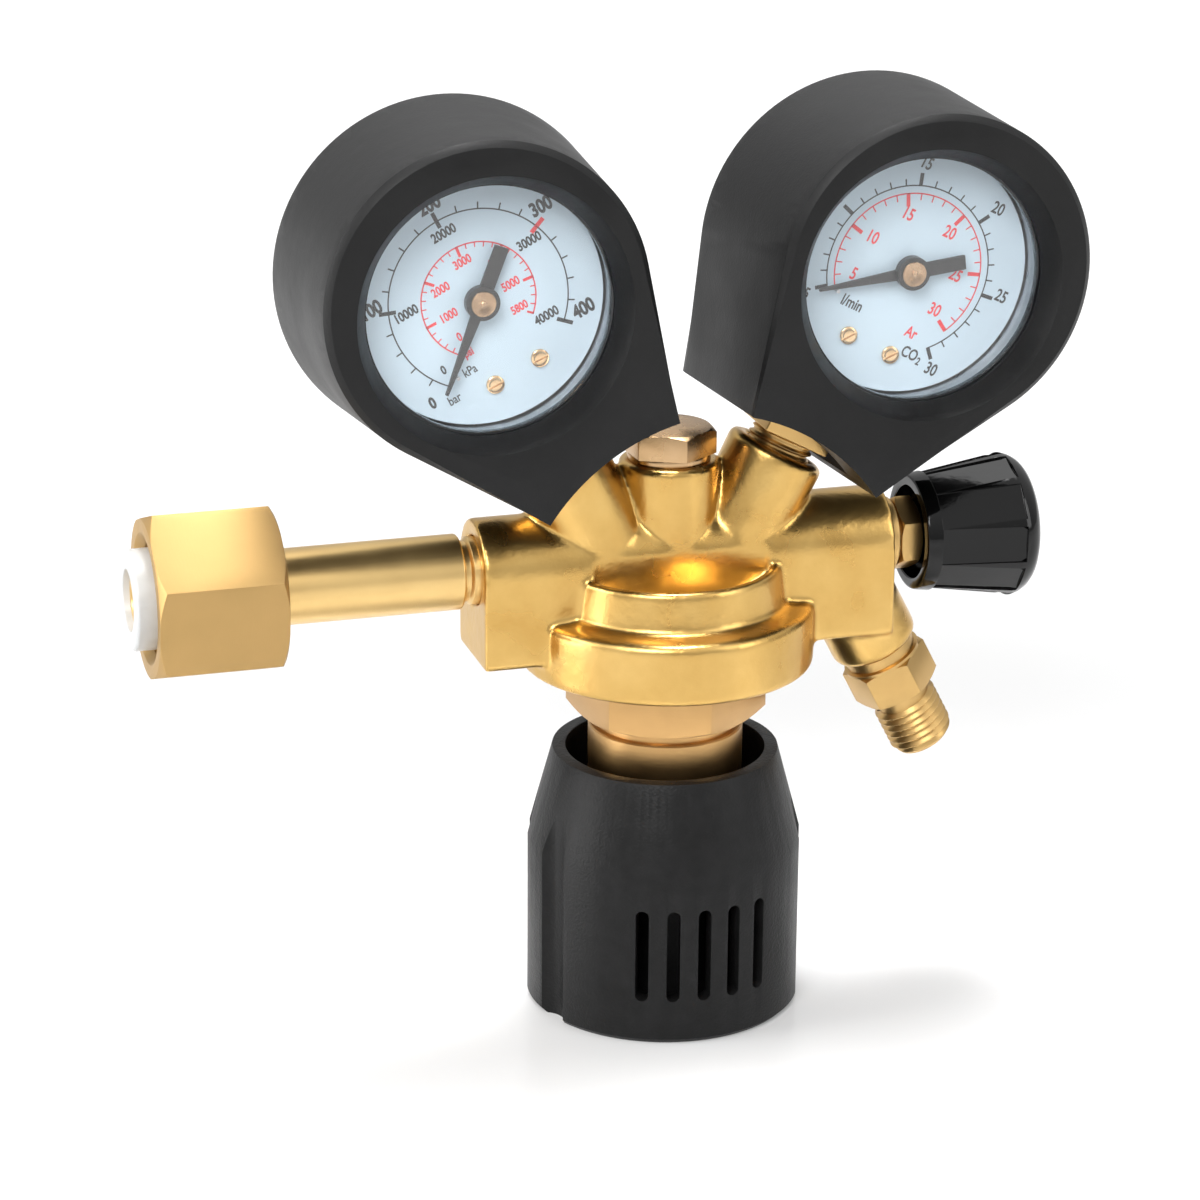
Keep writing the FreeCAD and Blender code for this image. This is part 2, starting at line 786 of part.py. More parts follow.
def valve():
    seat = turned([
        (s.orifice_radius, s.chamber_top), (s.seat_shank_radius, s.chamber_top),
        (s.seat_shank_radius, s.chamber_floor), (s.seat_flange_radius, s.chamber_floor),
        (s.seat_flange_radius, s.seat_top), (s.orifice_radius, s.seat_top),
    ])
    piece("valve_seat", seat)
    top = s.poppet_base + s.poppet_height
    pin_base = s.diaphragm_seat + s.rivet_head + s.slip_gap
    poppet = turned([
        (0, pin_base), (s.poppet_pin, pin_base),
        (s.poppet_pin, s.poppet_base), (s.poppet_radius - 1.6, s.poppet_base),
        (s.poppet_radius, s.poppet_base + 1.6), (s.poppet_radius, top - 2), (s.poppet_radius - 0.6, top),
        (s.poppet_top_radius, top), (s.poppet_top_radius, top + 2.6), (0, top + 2.6),
    ])
    piece("poppet", poppet)
    piece("valve_spring", coil(s.valve_coil, s.valve_wire, top, s.plug_seat - s.plug_wall, 6))


# Diaphragm stack

def diaphragm_stack():
    low = s.diaphragm_seat - s.diaphragm_thickness
    sheet = turned([
        (s.rivet_stem + s.seat_gap, low), (s.diaphragm_radius, low),
        (s.diaphragm_radius, s.diaphragm_seat), (s.rivet_stem + s.seat_gap, s.diaphragm_seat),
    ])
    piece("diaphragm", sheet)
    plate = turned([
        (0, s.plate_base), (s.plate_radius - 0.8, s.plate_base), (s.plate_radius, s.plate_base + 0.8),
        (s.plate_radius, s.plate_top), (s.rivet_stem, s.plate_top), (s.rivet_stem, s.diaphragm_seat),
        (s.rivet_radius, s.diaphragm_seat), (s.rivet_radius, s.diaphragm_seat + s.rivet_head),
        (0, s.diaphragm_seat + s.rivet_head),
    ])
    piece("diaphragm_plate", plate)
    ring = turned([
        (s.chamber_radius, s.flange_top), (s.diaphragm_radius, s.flange_top),
        (s.diaphragm_radius, low), (s.chamber_radius, low),
    ])
    piece("slip_ring", ring)


def bonnet():
    groove = s.barrel_radius - s.relief_depth
    outer = turned([
        (0, s.barrel_base), (s.barrel_radius - 3, s.barrel_base), (s.barrel_radius, s.barrel_base + 3),
        (s.barrel_radius, s.barrel_top, 0.4), (groove, s.barrel_top), (groove, s.hex_base),
        (groove, s.drum_base), (s.bonnet_flange_radius, s.drum_base),
        (s.bonnet_flange_radius, s.flange_top), (0, s.flange_top),
    ])
    head = chamfered_hex(s.bonnet_hex, s.hex_base, s.drum_base, 1.2, 0.01, about((0, 0, 1), s.bonnet_angle))
    inner = turned([
        (0, s.barrel_base - 1), (s.screw_radius + s.running_gap, s.barrel_base - 1),
        (s.screw_radius + s.running_gap, s.bonnet_inner_base), (s.bonnet_bore, s.bonnet_inner_base, 0.8),
        (s.bonnet_bore, s.flange_top - s.plate_pocket),
        (s.plate_pocket_radius, s.flange_top - s.plate_pocket),
        (s.plate_pocket_radius, s.flange_top + 1), (0, s.flange_top + 1),
    ])
    piece("bonnet", cut(fuse(outer, head), inner))
    piece("main_spring", coil(s.main_coil, s.main_wire, s.button_top, s.plate_base, 6))


# Adjusting parts

def adjusting_parts():
    top = s.button_top
    button = turned([
        (0, s.button_base), (s.bonnet_bore - s.running_gap, s.button_base, 0.6),
        (s.bonnet_bore - s.running_gap, top), (s.button_nose_radius, top),
        (s.button_nose_radius - 1, top + s.button_nose), (0, top + s.button_nose),
    ])
    piece("spring_button", button)
    screw = turned([
        (0, s.screw_sink), (s.screw_radius, s.screw_sink), (s.screw_radius, s.screw_top - 2),
        (s.screw_radius - 1.6, s.screw_top - 1, 1.0), (0, s.screw_top),
    ])
    piece("adjusting_screw", screw)
    piece("adjusting_knob", knob())


def knob():
    shell = turned([
        (0, 0), (s.knob_radius - s.knob_edge, 0), (s.knob_radius, s.knob_edge),
        (s.knob_radius, s.knob_shoulder), (s.knob_rim_radius, s.knob_rim_height),
        (s.knob_mouth_radius, s.knob_rim_height), (s.knob_mouth_radius, s.knob_rim_height - 1.2),
        (s.knob_radius - s.knob_wall, s.knob_shoulder - 2), (s.knob_radius - s.knob_wall, s.knob_floor),
        (0, s.knob_floor),
    ])
    hub = cylinder(s.hub_radius, s.hub_height - s.knob_floor + 1, (0, 0, s.knob_floor - 1))
    grips = []
    for base in (0, 180):
        for side in (-1, 1):
            tool = cylinder(s.grip_radius, DEEP, (s.knob_radius + s.grip_radius - s.grip_depth, 0, -1))
            grips.append(turn_about_z(tool, base + side * float(s.grip_angle)))
    slots = []
    for i in range(-2, 3):
        slots.append(turn_about_z(vent(), -90 + i * float(s.vent_angle)))
    bore = cylinder(s.screw_radius + s.seat_gap, DEEP, (0, 0, s.screw_sink))
    return cut(fuse(shell, hub), bore, *grips, *slots)


def vent():
    # An upright slot with round ends, cut through the knob's wall
    radius = s.vent_width / 2
    start = s.knob_radius - s.knob_wall - s.vent_over
    length = s.knob_wall + 2 * s.vent_over
    low = cylinder(radius, length, (start, 0, s.vent_base + radius), ALONG_X)
    high = cylinder(radius, length, (start, 0, s.vent_base + s.vent_height - radius), ALONG_X)
    middle = box(length, s.vent_width, s.vent_height - s.vent_width, (start, -radius, s.vent_base + radius))
    return fuse(low, high, middle)


def turn_about_z(thing, angle):
    # Keeps the tool's own place and swings it round the knob's axis
    turn = about((0, 0, 1), angle)
    local = thing.Placement
    if local.isIdentity():
        thing.Placement = FreeCAD.Placement(V(), turn)
        return thing
    for axis in "xyz":
        thing.setExpression(f"Placement.Base.{axis}", None)
    thing.Placement = FreeCAD.Placement(V(), turn).multiply(local)
    return thing


# Outlet valve

def outlet_valve():
    clear = s.spindle_radius + s.running_gap
    shank = s.valve_bore - s.seat_gap
    core = turned([
        (clear, s.valve_shank_left), (shank, s.valve_shank_left), (shank, s.arm_right),
        (s.ring_radius, s.arm_right), (s.ring_radius, s.arm_right + s.ring_width, 0.5),
        (s.valve_neck, s.arm_right + s.ring_width), (s.valve_neck, s.valve_hex_right),
        (clear, s.valve_hex_right),
        (clear, s.packing_left + s.packing_length), (s.packing_radius, s.packing_left + s.packing_length),
        (s.packing_radius, s.packing_left), (clear, s.packing_left),
    ])
    head = chamfered_hex(s.valve_hex, s.valve_hex_left, s.valve_hex_right, 0.5, 0.7)
    hole = cylinder(clear, DEEP, (0, 0, s.valve_hex_left - 1))
    piece("valve_bonnet", fuse(core, cut(head, hole)), (0, 0, s.pipe_height), ALONG_X)
    seal = turned([
        (s.spindle_radius + 0.05, s.packing_left + 0.3), (s.packing_radius - 0.1, s.packing_left + 0.3),
        (s.packing_radius - 0.1, s.packing_left + s.packing_length - 0.3),
        (s.spindle_radius + 0.05, s.packing_left + s.packing_length - 0.3),
    ])
    piece("spindle_seal", seal, (0, 0, s.pipe_height), ALONG_X)
    spindle = turned([
        (0, s.spindle_left), (s.spindle_radius - 0.6, s.spindle_left),
        (s.spindle_radius, s.spindle_left + 0.6),
        (s.spindle_radius, s.spindle_right), (0, s.spindle_right),
    ])
    piece("valve_spindle", spindle, (0, 0, s.pipe_height), ALONG_X)
    pad_right = s.spindle_left - s.slip_gap
    pad = turned([
        (0, pad_right - s.pad_thickness), (s.pad_radius - 0.5, pad_right - s.pad_thickness),
        (s.pad_radius, pad_right - s.pad_thickness + 0.5), (s.pad_radius, pad_right), (0, pad_right),
    ])
    piece("valve_pad", pad, (0, 0, s.pipe_height), ALONG_X)
    outer = turned([
        (0, s.handle_left), (s.handle_small, s.handle_left, 0.6),
        (s.handle_large, s.handle_right, s.handle_round), (0, s.handle_right),
    ])
    rim = s.handle_small - s.handle_wall
    hub_face = s.valve_hex_right + s.slip_gap
    recess = turned([
        (0, s.handle_left - 1), (rim, s.handle_left - 1), (rim, s.handle_left + s.handle_recess),
        (s.handle_hub, s.handle_left + s.handle_recess), (s.handle_hub, hub_face), (0, hub_face),
    ])
    hole = cylinder(s.spindle_radius + s.seat_gap, s.spindle_right - s.handle_left + 1,
                    (0, 0, s.handle_left - 1))
    flutes = []
    rise = float((s.handle_large - s.handle_small) / s.handle_length)
    slope = math.degrees(math.atan(rise))
    for i in range(int(float(s.flute_count))):
        flute = cylinder(s.flute_radius, s.handle_length - s.flute_start - s.flute_end)
        spin = about((0, 0, 1), 360 / float(s.flute_count) * (i + 0.5))
        lean = about((0, 1, 0), slope)
        reach = float(s.handle_small + s.flute_radius - s.flute_depth + s.flute_start * rise)
        flute.Placement = FreeCAD.Placement(V(), spin).multiply(
            FreeCAD.Placement(V(reach, 0, float(s.handle_left + s.flute_start)), lean))
        flutes.append(flute)
    piece("valve_knob", cut(outer, recess, hole, *flutes), (0, 0, s.pipe_height), ALONG_X)


def outlet():
    hole = s.outlet_orifice
    start = s.outlet_boss_end - s.outlet_bore_depth + 0.2
    thread = s.outlet_thread
    relief_end = s.outlet_hex_end + s.outlet_relief
    core = turned([
        (hole, start), (s.outlet_bore, start), (s.outlet_bore, s.outlet_boss_end),
        (s.outlet_neck_radius, s.outlet_boss_end), (s.outlet_neck_radius, s.outlet_hex_start + 1),
        (s.outlet_relief_radius, s.outlet_hex_start + 1), (s.outlet_relief_radius, relief_end),
        (thread, relief_end + 0.6),
        (thread, s.outlet_end - 0.9), (thread - 0.9, s.outlet_end), (hole + 1.2, s.outlet_end),
        (hole, s.outlet_end - 1.2),
    ])
    head = chamfered_hex(s.outlet_hex, s.outlet_hex_start, s.outlet_hex_end, 0.8, 0.8,
                         about((0, 0, 1), s.outlet_hex_angle))
    bore = cylinder(hole, DEEP)
    piece("outlet_adapter", cut(fuse(core, head), bore), outlet_at, outlet_turn)


# Gauges

def gauge(side, sign):
    at = (sign * gauge_side, -s.gauge_forward, dial_height)
    face = gauge_face(sign)
    wall = s.case_radius - s.case_wall
    shell = turned([
        (0, -s.case_back), (s.case_radius, -s.case_back, 1.2), (s.case_radius, s.case_front),
        (wall, s.case_front), (wall, -s.case_back + s.case_wall), (0, -s.case_back + s.case_wall),
    ])
    half = s.socket_width / 2
    room = s.slip_gap / 2
    gate = box(s.socket_width + s.slip_gap, s.case_radius - s.socket_top, s.socket_width + s.slip_gap,
               (-half - room, -s.case_radius - 1, -s.gauge_forward - half - room))
    piece(f"case_{side}", cut(shell, gate), at, face)
    bezel = turned([
        (s.bezel_inner, s.window_back + s.window_thickness),
        (wall - 0.05, s.window_back + s.window_thickness),
        (wall - 0.05, s.case_front), (s.case_radius, s.case_front), (s.case_radius, s.bezel_front, 0.4),
        (s.bezel_inner, s.bezel_front),
    ])
    piece(f"bezel_{side}", bezel, at, face)
    glass = turned([
        (0, s.window_back), (wall - 0.1, s.window_back), (wall - 0.1, s.window_back + s.window_thickness),
        (0, s.window_back + s.window_thickness),
    ])
    piece(f"window_{side}", glass, at, face)
    plate = cylinder(s.dial_radius, s.dial_thickness, (0, 0, -s.dial_thickness))
    hole = cylinder(s.arbor_radius + 0.3, DEEP, (0, 0, -DEEP / 2))
    piece(f"dial_{side}", cut(plate, hole), at, face)
    movement(side, at, face)
    socket(side, at, face)
    pointer(side, sign, at, face)
    boot(side, sign, at)


def movement(side, at, face):
    wide, deep, plate = s.movement_width, s.movement_depth, s.movement_plate
    low = -s.arbor_back
    back = box(wide, deep, plate, (-wide / 2, -deep / 2, low - plate))
    front = box(wide, deep, plate, (-wide / 2, -deep / 2, -s.movement_front - plate))
    posts, tabs = [], []
    for across in (-1, 1):
        column = across * (wide / 2 - 2)
        for up in (-1, 1):
            posts.append(cylinder(s.movement_post, s.arbor_back - s.movement_front,
                                  (column, up * (deep / 2 - 1.5), low - plate / 2)))
        tabs.append(cylinder(s.movement_post, s.movement_front + plate - s.dial_thickness,
                             (column, 0, -s.movement_front - plate)))
    hole = cylinder(s.arbor_radius + s.running_gap, DEEP, (0, 0, low))
    foot = box(4, s.socket_top - deep / 2 + 1, plate, (-2, -s.socket_top, low - plate))
    piece(f"movement_{side}", cut(fuse(back, front, foot, *posts, *tabs), hole), at, face)


def socket(side, at, face):
    half = s.socket_width / 2
    base = -s.socket_base
    block = box(s.socket_width, s.socket_base - s.socket_top, s.socket_width,
                (-half, base, -s.gauge_forward - half))
    down = about((1, 0, 0), 90)
    neck = cylinder(s.port_thread - 0.6, s.gauge_reach - s.socket_base - s.gauge_boss_end + 1,
                    (0, base + 0.5, -s.gauge_forward), down)
    thread = cylinder(s.port_thread, s.gauge_reach - s.socket_base - s.gauge_thread_end - 1.5,
                      (0, base - 1.5, -s.gauge_forward), down)
    bore = cylinder(s.socket_bore, DEEP, (0, base + 6, -s.gauge_forward), down)
    piece(f"gauge_socket_{side}", cut(fuse(block, neck, thread), bore), at, face)
    low = s.tube_back + s.tube_half_width
    ring = turned([
        (s.tube_coil - s.tube_half_depth, -low, 0.9), (s.tube_coil + s.tube_half_depth, -low, 0.9),
        (s.tube_coil + s.tube_half_depth, -low + 2 * s.tube_half_width, 0.9),
        (s.tube_coil - s.tube_half_depth, -low + 2 * s.tube_half_width, 0.9),
    ], s.tube_sweep_angle)
    start = math.degrees(math.acos(float((half + s.tube_gap) / s.tube_coil)))
    turn = face.multiply(about((0, 0, 1), -start))
    piece(f"bourdon_tube_{side}", ring, at, turn)


def zero_angle(sign):
    # Where a pointer rests, anticlockwise from the top of its dial
    return s.zero_left_angle if sign < 0 else s.zero_right_angle


def pointer(side, sign, at, face):
    back = s.pointer_back
    tail = box(s.pointer_tail, s.pointer_tail_width, s.pointer_thickness,
               (-s.pointer_tail, -s.pointer_tail_width / 2, back))
    needle = extruded([
        (0, -s.pointer_tail_width / 2 + 0.2), (s.pointer_reach, -0.25),
        (s.pointer_reach, 0.25), (0, s.pointer_tail_width / 2 - 0.2),
    ], s.pointer_thickness)
    place(needle, (0, 0, back))
    hub = cylinder(s.pointer_hub, s.pointer_hub_height, (0, 0, back))
    hole = cylinder(s.arbor_radius + 0.02, DEEP, (0, 0, -s.arbor_back))
    turn = face.multiply(about((0, 0, 1), 90 + zero_angle(sign)))
    piece(f"pointer_{side}", cut(fuse(tail, needle, hub), hole), at, turn)
    arbor = turned([
        (0, -s.arbor_back), (s.arbor_radius, -s.arbor_back), (s.arbor_radius, back + s.pointer_hub_height),
        (s.arbor_cap, back + s.pointer_hub_height), (s.arbor_cap, s.arbor_front, 0.3),
        (0, s.arbor_front),
    ])
    piece(f"arbor_{side}", arbor, at, face)


def boot_outline(body, height, circle, rise, drop):
    # A round top that runs down in two straight sides to the arched mouth, at one height along the axis
    sketch = new_sketch(body, "XY_Plane")
    sketch.AttachmentOffset = FreeCAD.Placement(V(0, 0, height.number), FreeCAD.Rotation())
    sketch.setExpression("AttachmentOffset.Base.z", height.text)
    radius, up, half, mouth = circle.number, rise.number, s.boot_mouth_half.number, drop.number
    reach = math.hypot(half, mouth + up)
    lean = math.atan2(mouth + up, half) - math.acos(radius / reach)
    touch = V(radius * math.cos(lean), up - radius * math.sin(lean), 0)
    mirror = V(-touch.x, touch.y, 0)
    right, left = V(half, -mouth, 0), V(-half, -mouth, 0)
    below = V(0, -mouth - math.sqrt(s.boot_mouth_arc.number**2 - half**2), 0)
    dome = sketch.addGeometry(rising_arc(V(0, up, 0), touch, mirror), False)
    left_run = sketch.addGeometry(Part.LineSegment(mirror, left), False)
    arch = sketch.addGeometry(rising_arc(below, right, left), False)
    right_run = sketch.addGeometry(Part.LineSegment(right, touch), False)
    rules = Rules(sketch)
    rules.fix(dome, 3, 0, rise)
    rules.add("Tangent", dome, 2, left_run, 1)
    rules.add("Coincident", left_run, 2, arch, 2)
    rules.add("Coincident", arch, 1, right_run, 1)
    rules.add("Tangent", right_run, 2, dome, 1)
    rules.fix(left_run, 2, -s.boot_mouth_half, -drop)
    rules.fix(right_run, 1, s.boot_mouth_half, -drop)
    rules.radius(dome, circle)
    rules.radius(arch, s.boot_mouth_arc)
    rules.apply()
    return sketch


def boot_solid():
    # Widest at the back, with its rim turned in at both ends
    body = doc.addObject("PartDesign::Body", "Boot")
    edge = s.boot_edge
    back = boot_outline(body, -s.boot_back, s.boot_back_radius - edge, as_size(0), s.boot_back_mouth)
    sections = [
        boot_outline(body, edge - s.boot_back, s.boot_back_radius, as_size(0), s.boot_back_mouth),
        boot_outline(body, s.boot_front - edge, s.boot_front_radius, s.boot_front_rise, s.boot_front_mouth),
        boot_outline(body, s.boot_front, s.boot_front_radius - edge, s.boot_front_rise, s.boot_front_mouth),
    ]
    taper = body.newObject("PartDesign::AdditiveLoft", "Tapered")
    taper.Profile = back
    taper.Sections = sections
    taper.Ruled = True
    return body


def boot(side, sign, at):
    hold = s.case_radius + 0.05
    inside = turned([
        (0, -s.boot_back + s.boot_back_wall), (hold, -s.boot_back + s.boot_back_wall),
        (hold, s.bezel_front + 0.05), (s.boot_window, s.bezel_front + 0.05),
        (s.boot_window, s.boot_front - s.boot_bevel), (s.boot_bevel_radius, s.boot_front),
        (s.boot_bevel_radius, s.boot_front + 1), (0, s.boot_front + 1),
    ])
    back_hole = cylinder(s.boot_back_opening, DEEP, (0, 0, -DEEP))
    slot_half = s.boot_mouth_half - s.boot_mouth_wall
    slot = box(2 * slot_half, s.boot_back_mouth + 4, s.boot_back - s.boot_back_wall + 2.0,
               (-slot_half, -s.boot_back_mouth - 4, -s.boot_back + s.boot_back_wall))
    piece(f"boot_{side}", cut(boot_solid(), inside, back_hole, slot), at, gauge_face(sign, s.boot_angle))


# Small parts that repeat on both gauges

def small_parts():
    washers, screws, stops = [], [], []
    for sign in (-1, 1):
        at = (sign * gauge_side, -s.gauge_forward, dial_height)
        face = gauge_face(sign)
        ring = turned([
            (s.socket_bore + 1, s.gauge_thread_end - s.gauge_washer),
            (s.port_thread - 0.3, s.gauge_thread_end - s.gauge_washer),
            (s.port_thread - 0.3, s.gauge_thread_end), (s.socket_bore + 1, s.gauge_thread_end),
        ])
        washers.append(place(ring, (0, 0, tilt_root), gauge_axis(sign)))
        for across in (-1, 1):
            head = turned([
                (0, 0), (s.dial_screw_radius, 0), (s.dial_screw_radius, 0.5),
                (s.dial_screw_radius * 0.6, 0.9),
                (0, 0.9),
            ])
            local = V(across * float(s.dial_screw_side), -float(s.dial_screw_drop), 0)
            head.Placement = FreeCAD.Placement(V(*(float(as_size(x)) for x in at)), face).multiply(
                FreeCAD.Placement(local, FreeCAD.Rotation()))
            screws.append(head)
        angle = math.radians(float(90 + zero_angle(sign) + s.stop_angle))
        spot = V(math.cos(angle), math.sin(angle), 0) * float(s.stop_distance)
        pin = cylinder(s.stop_radius, s.stop_height)
        pin.Placement = FreeCAD.Placement(V(*(float(as_size(x)) for x in at)), face).multiply(
            FreeCAD.Placement(spot, FreeCAD.Rotation()))
        stops.append(pin)
    piece("gauge_washers", group(washers))
    piece("dial_screws", group(screws))
    piece("pointer_stops", group(stops))


def group(shapes):
    thing = doc.addObject("Part::Compound", "Set")
    thing.Links = list(shapes)
    return thing


body()
inlet()
union_nut()
plug()
valve()
diaphragm_stack()
bonnet()
adjusting_parts()
outlet_valve()
outlet()
for side, sign in (("left", -1), ("right", 1)):
    gauge(side, sign)
small_parts()

doc.recompute()
broken = [f"{o.Name} {o.Label} {o.getStatusString()}" for o in doc.Objects
          if {"Invalid", "Error"} & set(o.State)]
for thing in pieces:
    if thing.Shape.isNull() or not thing.Shape.isValid() or not thing.Shape.Solids:
        broken.append(f"{thing.Label} has no valid solid")
if broken:
    raise RuntimeError("; ".join(broken))
os.makedirs("parts", exist_ok=True)
for thing in pieces:
    thing.Shape.exportStep(f"parts/{thing.Label}.step")
    print(f"{thing.Label} {len(thing.Shape.Solids)} solids {thing.Shape.Volume:.1f} mm3")
print(f"{len(pieces)} pieces")
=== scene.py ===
import json
import math
import bmesh
import bpy
from mathutils import Matrix, Vector


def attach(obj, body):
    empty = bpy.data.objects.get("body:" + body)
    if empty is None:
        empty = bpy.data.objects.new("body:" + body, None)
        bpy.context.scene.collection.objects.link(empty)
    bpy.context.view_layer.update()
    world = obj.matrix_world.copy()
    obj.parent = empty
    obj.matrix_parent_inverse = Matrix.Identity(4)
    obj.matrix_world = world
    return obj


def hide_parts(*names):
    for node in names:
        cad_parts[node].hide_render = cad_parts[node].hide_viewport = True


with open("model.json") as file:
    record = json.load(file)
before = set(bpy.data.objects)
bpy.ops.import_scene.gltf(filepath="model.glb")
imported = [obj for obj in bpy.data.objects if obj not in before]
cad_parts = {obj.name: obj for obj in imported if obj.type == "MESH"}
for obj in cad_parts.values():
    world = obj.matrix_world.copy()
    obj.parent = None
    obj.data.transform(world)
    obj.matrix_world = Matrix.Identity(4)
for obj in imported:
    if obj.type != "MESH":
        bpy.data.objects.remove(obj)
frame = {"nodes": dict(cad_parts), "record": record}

scene = bpy.context.scene
millimetre = 0.001
weldDistance = 0.000002
latheWeld = 0.000004
flatAngle = 0.5
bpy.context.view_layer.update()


# Small helpers for working in object and edit mode

def deselectAll():
    if bpy.context.object and bpy.context.object.mode != "OBJECT":
        bpy.ops.object.mode_set(mode="OBJECT")
    bpy.ops.object.select_all(action="DESELECT")


def pick(piece):
    deselectAll()
    piece.select_set(True)
    bpy.context.view_layer.objects.active = piece


def settle(piece):  # puts the place into the mesh
    pick(piece)
    bpy.ops.object.transform_apply(location=True, rotation=True, scale=True)


def applied(piece, kind, **values):  # adds a modifier and applies it
    pick(piece)
    modifier = piece.modifiers.new(kind.title(), kind)
    for name, value in values.items():
        setattr(modifier, name, value)
    bpy.ops.object.modifier_apply(modifier=modifier.name)


def bevelled(piece, edge, segments, angle, **values):  # edge in millimetres
    applied(piece, "BEVEL", width=edge * millimetre, segments=segments, limit_method="ANGLE",
            angle_limit=math.radians(angle), **values)


def smoothed(piece, angle):
    pick(piece)
    bpy.ops.object.shade_smooth_by_angle(angle=math.radians(angle))


def joined(pieces, name):
    deselectAll()
    for piece in pieces:
        piece.select_set(True)
    bpy.context.view_layer.objects.active = pieces[0]
    if len(pieces) > 1:
        bpy.ops.object.join()
    pieces[0].name = name
    return pieces[0]


def copiedNode(node, name):  # a clean copy of a frame node, with its doubles merged
    piece = bpy.data.objects.new(name, frame["nodes"][node].data.copy())
    scene.collection.objects.link(piece)
    piece.data.materials.clear()
    pick(piece)
    bpy.ops.object.mode_set(mode="EDIT")
    bpy.ops.mesh.select_all(action="SELECT")
    bpy.ops.mesh.remove_doubles(threshold=weldDistance)
    bpy.ops.mesh.dissolve_limited(angle_limit=math.radians(flatAngle))
    bpy.ops.object.mode_set(mode="OBJECT")
    return piece


def carved(piece, operation, tool):  # the tool goes away afterwards
    applied(piece, "BOOLEAN", operation=operation, object=tool, solver="EXACT")
    bpy.data.objects.remove(tool)


def finished(piece, material, body, slot, *nodes):  # paints the piece, hangs it on its body and hides the frame nodes it replaces
    settle(piece)
    piece.data.materials.clear()
    piece.data.materials.append(material)
    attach(piece, body)
    if nodes:
        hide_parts(*nodes)
    return piece


def singlePoint():  # one vertex at the origin, selected and in edit mode
    deselectAll()
    bpy.ops.mesh.primitive_plane_add(size=millimetre)
    bpy.ops.object.mode_set(mode="EDIT")
    bpy.ops.mesh.select_all(action="SELECT")
    bpy.ops.mesh.merge(type="CENTER")
    return bpy.context.object


def drawnProfile(spots):  # a run of edges in the XZ plane, extruded spot by spot, in millimetres
    piece = singlePoint()
    last = Vector((spots[0][0], 0, spots[0][1])) * millimetre
    bpy.ops.transform.translate(value=last)
    for x, z in spots[1:]:
        spot = Vector((x, 0, z)) * millimetre
        bpy.ops.mesh.extrude_region_move(TRANSFORM_OT_translate={"value": spot - last})
        last = spot
    bpy.ops.object.mode_set(mode="OBJECT")
    return piece


def lathed(name, spots, steps):  # spins a profile round Z into a closed form
    piece = drawnProfile(spots)
    piece.name = name
    bpy.ops.object.mode_set(mode="EDIT")
    bpy.ops.mesh.select_all(action="SELECT")
    bpy.ops.mesh.spin(steps=steps, angle=2 * math.pi, center=(0, 0, 0), axis=(0, 0, 1))
    bpy.ops.mesh.select_all(action="SELECT")
    bpy.ops.mesh.remove_doubles(threshold=latheWeld)
    bpy.ops.mesh.normals_make_consistent(inside=False)
    bpy.ops.object.mode_set(mode="OBJECT")
    return piece


def axisFrame(place, turn):  # Z of a lathed form leans from up towards +X
    return Matrix.Translation(Vector(place) * millimetre) @ Matrix.Rotation(math.radians(turn), 4, "Y")


def turnFaces(piece, wrong):  # reverses the faces that the test picks
    sheet = bmesh.new()
    sheet.from_mesh(piece.data)
    sheet.normal_update()
    bmesh.ops.reverse_faces(sheet, faces=[face for face in sheet.faces if wrong(face)])
    sheet.to_mesh(piece.data)
    sheet.free()


# Node groups that several materials share

def mathNode(nodes, operation):
    node = nodes.new("ShaderNodeMath")
    node.operation = operation
    return node


def newGroup(name, inputs, outputs):
    group = bpy.data.node_groups.new(name, "ShaderNodeTree")
    for socket, kind, value in inputs:
        item = group.interface.new_socket(name=socket, in_out="INPUT", socket_type=kind)
        item.default_value = value
    for socket, kind in outputs:
        group.interface.new_socket(name=socket, in_out="OUTPUT", socket_type=kind)
    return group, group.nodes.new("NodeGroupInput"), group.nodes.new("NodeGroupOutput")


grainDetail = dict(fine=3, coarse=2)
mottleDetail = dict(detail=4, low=0.3, high=0.7)


def grainGroup():  # small bumps of two sizes, as a blasted or moulded skin has
    group, given, out = newGroup("skinGrain", [
        ("Vector", "NodeSocketVector", (0, 0, 0)), ("Fine", "NodeSocketFloat", 2500.0),
        ("Coarse", "NodeSocketFloat", 200.0), ("Fine depth", "NodeSocketFloat", 0.2),
        ("Coarse depth", "NodeSocketFloat", 0.2), ("Distance", "NodeSocketFloat", 0.0001),
    ], [("Normal", "NodeSocketVector")])
    nodes, links = group.nodes, group.links
    fine = nodes.new("ShaderNodeTexNoise")
    fine.inputs["Detail"].default_value = grainDetail["fine"]
    coarse = nodes.new("ShaderNodeTexNoise")
    coarse.inputs["Detail"].default_value = grainDetail["coarse"]
    scaledFine = mathNode(nodes, "MULTIPLY")
    scaledCoarse = mathNode(nodes, "MULTIPLY")
    total = mathNode(nodes, "ADD")
    bump = nodes.new("ShaderNodeBump")
    for noise, size in ((fine, "Fine"), (coarse, "Coarse")):
        links.new(given.outputs["Vector"], noise.inputs["Vector"])
        links.new(given.outputs[size], noise.inputs["Scale"])
    links.new(fine.outputs["Fac"], scaledFine.inputs[0])
    links.new(given.outputs["Fine depth"], scaledFine.inputs[1])
    links.new(coarse.outputs["Fac"], scaledCoarse.inputs[0])
    links.new(given.outputs["Coarse depth"], scaledCoarse.inputs[1])
    links.new(scaledFine.outputs[0], total.inputs[0])
    links.new(scaledCoarse.outputs[0], total.inputs[1])
    links.new(total.outputs[0], bump.inputs["Height"])
    links.new(given.outputs["Distance"], bump.inputs["Distance"])
    links.new(bump.outputs["Normal"], out.inputs["Normal"])
    return group


